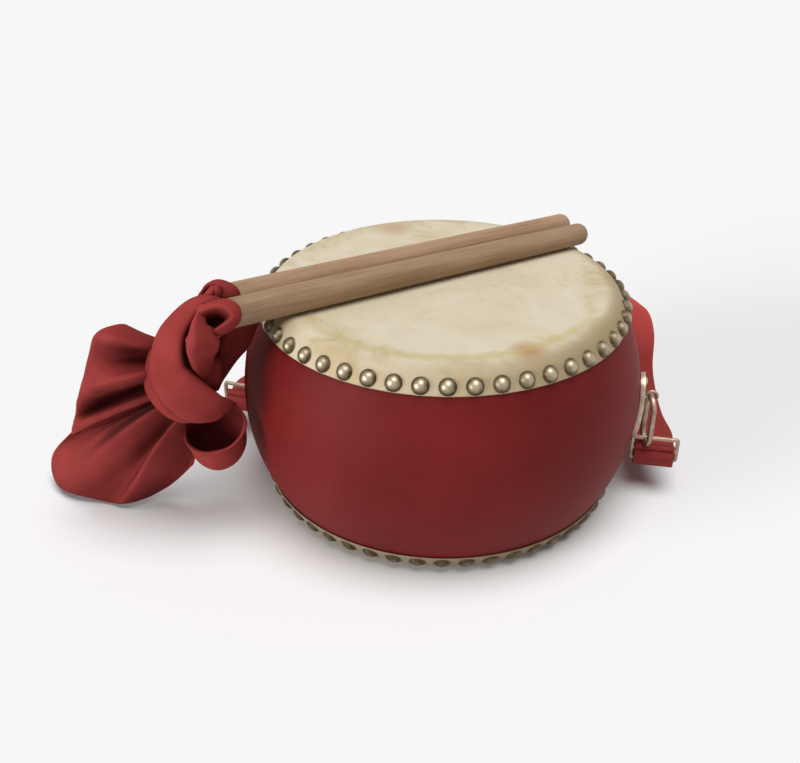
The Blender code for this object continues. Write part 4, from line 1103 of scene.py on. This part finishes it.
def make_strap_end(side, strap, material):
    """The webbing wound round the slider's two lower bars, up to where the long band starts."""
    back = TOWARDS_BACK[side]
    centres = smooth_through(np.array(ROLL) * MM, ROLL_POINTS)
    spin = side_frame(side)
    path = np.array([spin @ Vector((SLIDER_X, back * y, SLIDER_TOP_Z + z)) for y, z in centres])
    edges = np.repeat([spin @ Vector((1, 0, 0))], len(path), axis=0)
    end = webbing("strap_" + side + "_roll", band_rows(path, edges, strap), strap)
    finish_piece(end, material, None, "red_webbing", "strap_" + side + "_end")
    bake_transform(end)


def strap_join(side, beyond):
    """Where the long band meets a strap end, this far past it, and the direction of its outer edge there."""
    spin = side_frame(side)
    back = TOWARDS_BACK[side]
    y, z = ROLL[-1]
    out, along, up = JOIN_DIRECTION
    run = Vector((out, back * along, up)) * beyond
    end = Vector((SLIDER_X, back * y * MM, SLIDER_TOP_Z + z * MM))
    return spin @ (end + run), spin @ Vector((1, 0, 0))


def make_strap_band(strap, material):
    """The long band in three lengths, of which the middle one rides on the drum."""
    places = [strap_join("right", 0), strap_join("right", JOIN_RUN)]
    places += [(Vector(centre) * MM, Vector(edge)) for centre, edge in STRAP_ROUTE]
    places += [strap_join("left", JOIN_RUN), strap_join("left", 0)]
    count = STRAP_STEPS * (len(places) - 1) + 1
    centres = smooth_through([tuple(centre) for centre, _ in places], count)
    edges = smooth_through([tuple(edge) for _, edge in places], count)
    lengths = steps_along(centres)
    rows = band_rows(centres, edges, strap)
    first, last = STRAP_RIGHT_LAST * STRAP_STEPS, STRAP_LEFT_FIRST * STRAP_STEPS
    parts = (("right", 0, first), ("middle", first, last), ("left", last, count - 1))
    for part, low, high in parts:
        band = webbing(f"strap_{part}_length", rows[low : high + 1], strap, start=lengths[low])
        body = "drum" if part == "middle" else None
        finish_piece(band, material, body, "red_webbing", "strap_band")
        if part == "right":
            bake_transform(band)
        if part == "left":
            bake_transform(band)


def stick_frame(index):
    """Local Z runs from the butt to the tip. Index 0 is the front stick and 1 the back one."""
    turn = Matrix.Rotation(STICK_HEADING, 4, "Z")
    lay = Matrix.Rotation(pi / 2 + STICK_DIP, 4, "Y")
    shift = turn @ Vector((0, index * STICK_SPACING, 0))
    return Matrix.Translation(Vector(FRONT_BUTT) + shift) @ turn @ lay


def make_stick(index, place, sticks, material):
    """A tapered stick with a rounded tip, turned and laid on the drum."""
    tip, butt = sticks.tip_radius, sticks.butt_radius
    shoulder = sticks.length - TIP_ROUND
    tip_steps, taper_steps = 8, 14
    profile = []
    for step in range(tip_steps + 1):
        angle = pi / 2 * step / tip_steps
        profile.append((tip * sin(angle), shoulder + TIP_ROUND * cos(angle)))
    for step in range(1, taper_steps + 1):
        share = step / taper_steps
        profile.append((tip + (butt - tip) * share, shoulder + (STICK_STRAIGHT - shoulder) * share))
    corner = 0.3 * BUTT_ROUND
    profile += [(butt, BUTT_ROUND), (butt - corner, corner), (butt - BUTT_ROUND, 0), (0, 0)]
    stick = turned(place + "_stick_turned", profile, STICK_STEPS)
    settle(stick, stick_frame(index))
    return finish_piece(stick, material, "stick_" + place, "stick_wood", place + "_stick")


def sash_piece(part, node, grid, sticks, material, held, rests_on, flat, area=None, **cut):
    """Makes a grid of points a piece of the sash, with its finish, on the sash's body."""
    piece = woven_sheet("sash_" + part, grid, sticks.cloth, **cut)
    finish_piece(piece, material, "sash", "sash_cloth", node, smooth_all=True)


def make_hood(index, place, hood, sticks, material):
    """A hood of cloth over one butt: a soft bulb with a deep fold pressed into its front."""
    rows, columns = 40, 72
    tilt = np.linspace(0, pi, rows)[:, None]
    turn = np.linspace(0, 2 * pi, columns, endpoint=False)[None]
    outline = hood["outline"]
    wide = smooth_through(outline + outline[:1], columns + 1)[:-1][None]
    pole = np.where(tilt < pi / 2, hood["front"], hood["back"])
    reach = wide * np.sin(tilt) ** 2 + pole * np.cos(tilt) ** 2
    right = reach * np.sin(tilt) * np.cos(turn)
    up = reach * np.sin(tilt) * np.sin(turn)
    front = reach * np.cos(tilt) * np.ones_like(turn)
    # The scoop is an oval with its own tilt, and rises further than it falls
    c, s = cos(hood["scoop_tilt"]), sin(hood["scoop_tilt"])
    beside, above = right - hood["scoop"][0], up - hood["scoop"][1]
    wide_half, upper_half, lower_half = hood["scoop_size"]
    across = (beside * c + above * s) / wide_half
    rise = above * c - beside * s
    rise = rise / np.where(rise > 0, upper_half, lower_half)
    away = np.clip((np.sqrt(across**2 + rise**2) - SCOOP_FLOOR) / (1 - SCOOP_FLOOR), 0, 1)
    pressed = 1 - away * away * (3 - 2 * away)
    front = front - np.where(front > 0, hood["scoop_depth"] * pressed, 0)
    local = np.stack([right, up, front], axis=-1)
    grid = (np.array(hood["centre"]) + local @ HOOD_AXES) * MM
    into_stick = stick_frame(index).inverted()
    bore = sticks.butt_radius - GAP

    def in_stick(point):
        x, y, z = into_stick @ Vector(point)
        return z > 0 and x * x + y * y < bore**2

    grid = rumpled(grid, 9 * MM, 0.5 * MM)
    part, node, stick = place + "_hood", f"sash_{place}_loop", place + "_stick_turned"
    laid = SASH_FLATS[part]
    sash_piece(part, node, grid, sticks, material, "gathered", stick, **laid, tube=True, drop=in_stick)


def band_grid(places, section, rows, columns):
    """Rows of points over a band of folded cloth. Its section is given across it, from its inner edge."""
    path = smooth_through([place for place, _, _ in places], rows)
    sizes = smooth_through([(width, depth) for _, width, depth in places], rows)
    shape = smooth_through(section, columns)
    along = unit(np.gradient(path, axis=0))
    out = unit(path - np.array(KNOT_CORE)) + FACING_WEIGHT * unit(BAND_FACING)
    out = square_to(out, along)
    across = np.cross(along, out)
    wide = sizes[:, :1] * shape[None, :, 0]
    deep = sizes[:, 1:] * shape[None, :, 1]
    return (path[:, None] + across[:, None] * wide[..., None] + out[:, None] * deep[..., None]) * MM


def make_knot(sticks, material):
    """The knot's core and the bands of cloth wound over it."""
    columns = 32
    bands = (
        ("wrap", "sash_knot", WRAP, CRISP_SECTION, 60, 0.35),
        ("under_wrap", "sash_knot", UNDER_WRAP, SOFT_SECTION, 56, 0.4),
        ("strand", "sash_knot", STRAND, RIDGE_SECTION, 48, 0.35),
        ("back_ridge", "sash_back_loop", BACK_RIDGE, SOFT_SECTION, 28, 0.3),
        ("side_ridge", "sash_back_loop", SIDE_RIDGE, SOFT_SECTION, 28, 0.3),
    )
    for part, node, places, section, rows, depth in bands:
        grid = rumpled(band_grid(places, section, rows, columns), 12 * MM, depth * MM)
        wide = float(steps_along(grid[rows // 2])[-1])
        run = float(steps_along(grid[:, columns // 2])[-1])
        laid = {"flat": (wide, run), "area": BAND_AREA_SHARE * wide * run}
        sash_piece(part, node, grid, sticks, material, "folded", "sash_core", **laid)
    bpy.ops.object.select_all(action="DESELECT")
    bpy.ops.mesh.primitive_uv_sphere_add(segments=48, ring_count=28, radius=1)
    core = bpy.context.object
    core.name = "sash_core"
    for vert in core.data.vertices:
        bumps = 1 + CORE_BUMP * noise.noise(vert.co * CORE_BUMP_WAVES)
        vert.co = Vector([(c + r * x * bumps) * MM for c, r, x in zip(KNOT_CORE, KNOT_CORE_RADII, vert.co)])
    weave = core.data.uv_layers[0]
    weave.name = "weave"
    for corner in weave.data:
        corner.uv *= CORE_WEAVE_SPAN
    finish_piece(core, material, "sash", "sash_cloth", "sash_knot", smooth_all=True)


def fan_grid(root, hem, rows, columns):
    """Straight lines of points from a root curve to a hem curve, in mm."""
    roots = smooth_through(root, columns)
    hems = smooth_through(hem, columns)
    along = np.linspace(0, 1, rows)[:, None, None]
    return roots[None] * (1 - along) + hems[None] * along


def above_floor(grid, thickness):
    """The grid with no point lower than cloth that lies on the floor."""
    grid[..., 2] = np.maximum(grid[..., 2], thickness / 2 + GAP)
    return grid


def make_bow(sticks, material):
    """The upper bow: cloth that leaves the knot in deep folds, turns at its outer edge and comes back."""
    rows, columns = 34, 64
    out = unit(BOW_FACING)
    base = fan_grid(BOW_ROOT, BOW_HEM, rows, columns)
    folds = smooth_table(BOW_FOLDS, rows, columns)
    along = np.linspace(0, 1, rows)[:, None]
    across = np.linspace(0, 1, columns)[None]
    gap = BOW_TURN + (BOW_PUFF - BOW_TURN) * np.sin(pi * along)
    # The two layers meet in a rounded fold along the top
    meet = np.sqrt(1 - (1 - np.minimum(across / BOW_CLOSES, 1)) ** 2)
    gap, folds = gap * meet, folds * meet
    front = base + out * (gap + folds)[..., None]
    back = base - out * (gap - BOW_BACK_FOLDS * folds)[..., None]
    near, far = front[-1], back[-1]
    outward = unit(near - front[-2])
    middle, half = (near + far) / 2, (near - far) / 2
    bulge = outward * np.linalg.norm(half, axis=-1, keepdims=True)
    turn = [middle + half * cos(pi * step / 4) + bulge * sin(pi * step / 4) for step in (1, 2, 3)]
    grid = np.concatenate([front, turn, back[::-1]]) * MM
    grid = above_floor(rumpled(grid, 14 * MM, 0.6 * MM), sticks.cloth)
    laid = SASH_FLATS["bow"]
    sash_piece("bow", "sash_upper_bow", grid, sticks, material, "gathered", "sash_wrap", **laid)


def make_tail(sticks, material):
    """The lower tail: one layer that spreads from the knot in sharp folds to a hem on the floor."""
    rows, columns = 48, 90
    base = fan_grid(TAIL_ROOT, TAIL_HEM, rows, columns)
    folds = smooth_table(TAIL_FOLDS, rows, columns)
    grid = (base + unit(TAIL_FACING) * folds[..., None]) * MM
    grid = above_floor(rumpled(grid, 16 * MM, 0.6 * MM), sticks.cloth)
    laid = SASH_FLATS["tail"]
    sash_piece("tail", "sash_lower_tail", grid, sticks, material, "gathered", "sash_wrap", **laid)


def make_cup(sticks, material):
    """The side bow: an open cup of cloth whose lip rolls outwards."""
    rows, columns = 36, 64
    bowl_rows = rows - CUP_LIP_ROWS
    mouth = unit(CUP_MOUTH)
    side = unit(np.cross(mouth, (0, 0, 1)))
    other = np.cross(side, mouth)
    tilt = np.concatenate([np.linspace(180, CUP_RIM, bowl_rows), np.full(CUP_LIP_ROWS, CUP_RIM)])
    tilt = np.radians(tilt)[:, None]
    turn = np.linspace(0, 2 * pi, columns, endpoint=False)[None]
    direction = (
        mouth * np.cos(tilt)[..., None]
        + side * (np.sin(tilt) * np.cos(turn))[..., None]
        + other * (np.sin(tilt) * np.sin(turn))[..., None]
    )
    grid = np.array(CUP_CENTRE) + direction * np.array(CUP_RADII)
    outward = unit(grid[-1] - grid[-1].mean(axis=0))
    for step in range(CUP_LIP_ROWS):
        angle = pi * (step + 1) / (CUP_LIP_ROWS + 1)
        roll = mouth * sin(angle) * CUP_LIP_RISE + outward * (1 - cos(angle)) / 2
        grid[bowl_rows + step] += roll * CUP_LIP
    grid = above_floor(rumpled(grid * MM, 12 * MM, 0.7 * MM), sticks.cloth)
    laid = SASH_FLATS["cup"]
    sash_piece("cup", "sash_side_bow", grid, sticks, material, "gathered", "sash_wrap", **laid, tube=True)


def make_strip(sticks, material):
    """The strip that hangs from under the sticks, behind the knot."""
    grid = rumpled(band_grid(HANGING_STRIP, FLAT_SECTION, 30, 24), 10 * MM, 0.6 * MM)
    laid = SASH_FLATS["strip"]
    sash_piece("strip", "sash_hanging_strip", grid, sticks, material, "hung", "sash_core", **laid)


class WAISTDRUM_OT_stage(Operator):
    """Make the floor, the light and the camera"""

    bl_idname = "waist_drum.stage"
    bl_label = "Stage"

    def execute(self, context):
        scene = context.scene
        stage, finishes = scene.stage_settings, scene.drum_finishes
        bpy.ops.object.select_all(action="DESELECT")
        bpy.ops.mesh.primitive_plane_add(size=FLOOR_SIZE, location=(0, 0, FLOOR_Z))
        floor = context.object
        floor.name = "studio_floor"
        floor.data.materials.append(studio_floor(finishes))
        for name, setting, direction, across in LAMPS:
            turn = Vector(direction).to_track_quat("Z", "Y").to_euler()
            bpy.ops.object.light_add(type="SUN", rotation=turn, location=Vector(direction) * LAMP_DISTANCE)
            lamp = context.object
            lamp.name = name
            lamp.data.energy = pi * getattr(stage, setting)
            lamp.data.angle = across
        scene.world = pale_studio(stage, finishes)
        scene.view_settings.view_transform = "Standard"
        back = Vector((0, -cos(stage.elevation), sin(stage.elevation)))
        turn = Matrix.Rotation(pi / 2 - stage.elevation, 4, "X") @ Matrix.Rotation(stage.roll, 4, "Z")
        place = Vector(stage.target) + back * stage.distance
        bpy.ops.object.camera_add(location=place, rotation=turn.to_euler())
        camera = context.object
        camera.data.lens = stage.lens
        camera.data.sensor_width = SENSOR_WIDTH
        camera.data.clip_start = CLIP_START
        scene.camera = camera
        return {"FINISHED"}


class WAISTDRUM_OT_drum(Operator):
    """Make the lacquered shell, its two hides and their tacks"""

    bl_idname = "waist_drum.drum"
    bl_label = "Drum"

    def execute(self, context):
        drum, finishes = context.scene.drum_sizes, context.scene.drum_finishes
        make_shell(drum, satin_lacquer(finishes))
        hide = scraped_rawhide(finishes)
        brass = antique_brass("antique brass tacks", finishes.brass, finishes.patina, 0.0)
        for end in ("top", "bottom"):
            make_hide(drum, end, hide)
            make_tacks(drum, end, brass)
        return {"FINISHED"}


class WAISTDRUM_OT_fittings(Operator):
    """Make the ring plates, nails, split pins, rings and sliders of both sides"""

    bl_idname = "waist_drum.fittings"
    bl_label = "Strap fittings"

    def execute(self, context):
        scene = context.scene
        drum, strap, finishes = scene.drum_sizes, scene.strap_sizes, scene.drum_finishes
        tones = finishes.fitting, finishes.fitting_patina
        brass = antique_brass("antique brass fittings", *tones, PLATE_RUBBED)
        links = antique_brass("antique brass links", *tones, LINK_RUBBED)
        steel = drawn_steel(finishes)
        shell = bpy.data.objects["shell"]
        for side in SIDES:
            make_plate(side, strap, shell, brass)
            for place, sign in (("upper", 1), ("lower", -1)):
                make_nail(side, place, sign, drum, strap, brass)
            make_split_pin(side, links)
            make_ring(side, links)
            make_slider(side, strap, links)
            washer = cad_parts[side + "_washer"]
            washer.data.materials.clear()
            washer.data.materials.append(steel)
        return {"FINISHED"}


class WAISTDRUM_OT_strap(Operator):
    """Make the webbing strap and its rolled ends"""

    bl_idname = "waist_drum.strap"
    bl_label = "Strap"

    def execute(self, context):
        strap = context.scene.strap_sizes
        material = woven_webbing(context.scene.drum_finishes)
        for side in SIDES:
            make_strap_end(side, strap, material)
        make_strap_band(strap, material)
        return {"FINISHED"}


class WAISTDRUM_OT_sticks(Operator):
    """Make the two turned sticks"""

    bl_idname = "waist_drum.sticks"
    bl_label = "Sticks"

    def execute(self, context):
        sticks, finishes = context.scene.stick_sizes, context.scene.drum_finishes
        # The front stick has darker copies of the wood's colours, as painted shade
        tones = (
            ("front", finishes.front_wood_shaded, finishes.front_grain_shaded),
            ("back", finishes.wood, finishes.wood_grain),
        )
        for index, (place, wood, grain) in enumerate(tones):
            material = sanded_wood("sanded hardwood, " + place, wood, grain, finishes.wood_pore)
            make_stick(index, place, sticks, material)
        return {"FINISHED"}


class WAISTDRUM_OT_sash(Operator):
    """Make the sash: its hoods, knot, bows, tail and strip"""

    bl_idname = "waist_drum.sash"
    bl_label = "Sash"

    def execute(self, context):
        sticks = context.scene.stick_sizes
        cotton = sash_cotton(context.scene.drum_finishes)
        make_hood(0, "front", FRONT_HOOD, sticks, cotton)
        make_hood(1, "back", BACK_HOOD, sticks, cotton)
        for make in (make_knot, make_bow, make_tail, make_cup, make_strip):
            make(sticks, cotton)
        return {"FINISHED"}


class WAISTDRUM_PT_panel(Panel):
    """Lists the operators and sizes in the sidebar"""

    bl_label = "Waist drum"
    bl_idname = "WAISTDRUM_PT_panel"
    bl_space_type = "VIEW_3D"
    bl_region_type = "UI"
    bl_category = "Waist drum"

    def draw(self, context):
        for operator in OPERATORS:
            self.layout.operator(operator.bl_idname)
        for group, settings in SETTINGS.items():
            column = self.layout.column(heading=group)
            for name in settings.__annotations__:
                column.prop(getattr(context.scene, group), name)


SETTINGS = {
    "drum_sizes": DrumSizes,
    "strap_sizes": StrapSizes,
    "stick_sizes": StickSizes,
    "drum_finishes": Finishes,
    "stage_settings": StageSettings,
}
OPERATORS = (
    WAISTDRUM_OT_stage,
    WAISTDRUM_OT_drum,
    WAISTDRUM_OT_fittings,
    WAISTDRUM_OT_strap,
    WAISTDRUM_OT_sticks,
    WAISTDRUM_OT_sash,
)


def register():
    """Adds the settings, the operators and the panel."""
    for cls in (*SETTINGS.values(), *OPERATORS, WAISTDRUM_PT_panel):
        bpy.utils.register_class(cls)
    for name, settings in SETTINGS.items():
        setattr(bpy.types.Scene, name, PointerProperty(type=settings))


def unregister():
    """Takes them away again, last ones first."""
    for name in SETTINGS:
        delattr(bpy.types.Scene, name)
    for cls in (WAISTDRUM_PT_panel, *reversed(OPERATORS), *reversed(SETTINGS.values())):
        bpy.utils.unregister_class(cls)


def main():
    """Makes everything in order."""
    register()
    bpy.ops.waist_drum.stage()
    bpy.ops.waist_drum.drum()
    bpy.ops.waist_drum.fittings()
    bpy.ops.waist_drum.strap()
    bpy.ops.waist_drum.sticks()
    bpy.ops.waist_drum.sash()


if __name__ == "__main__":
    main()
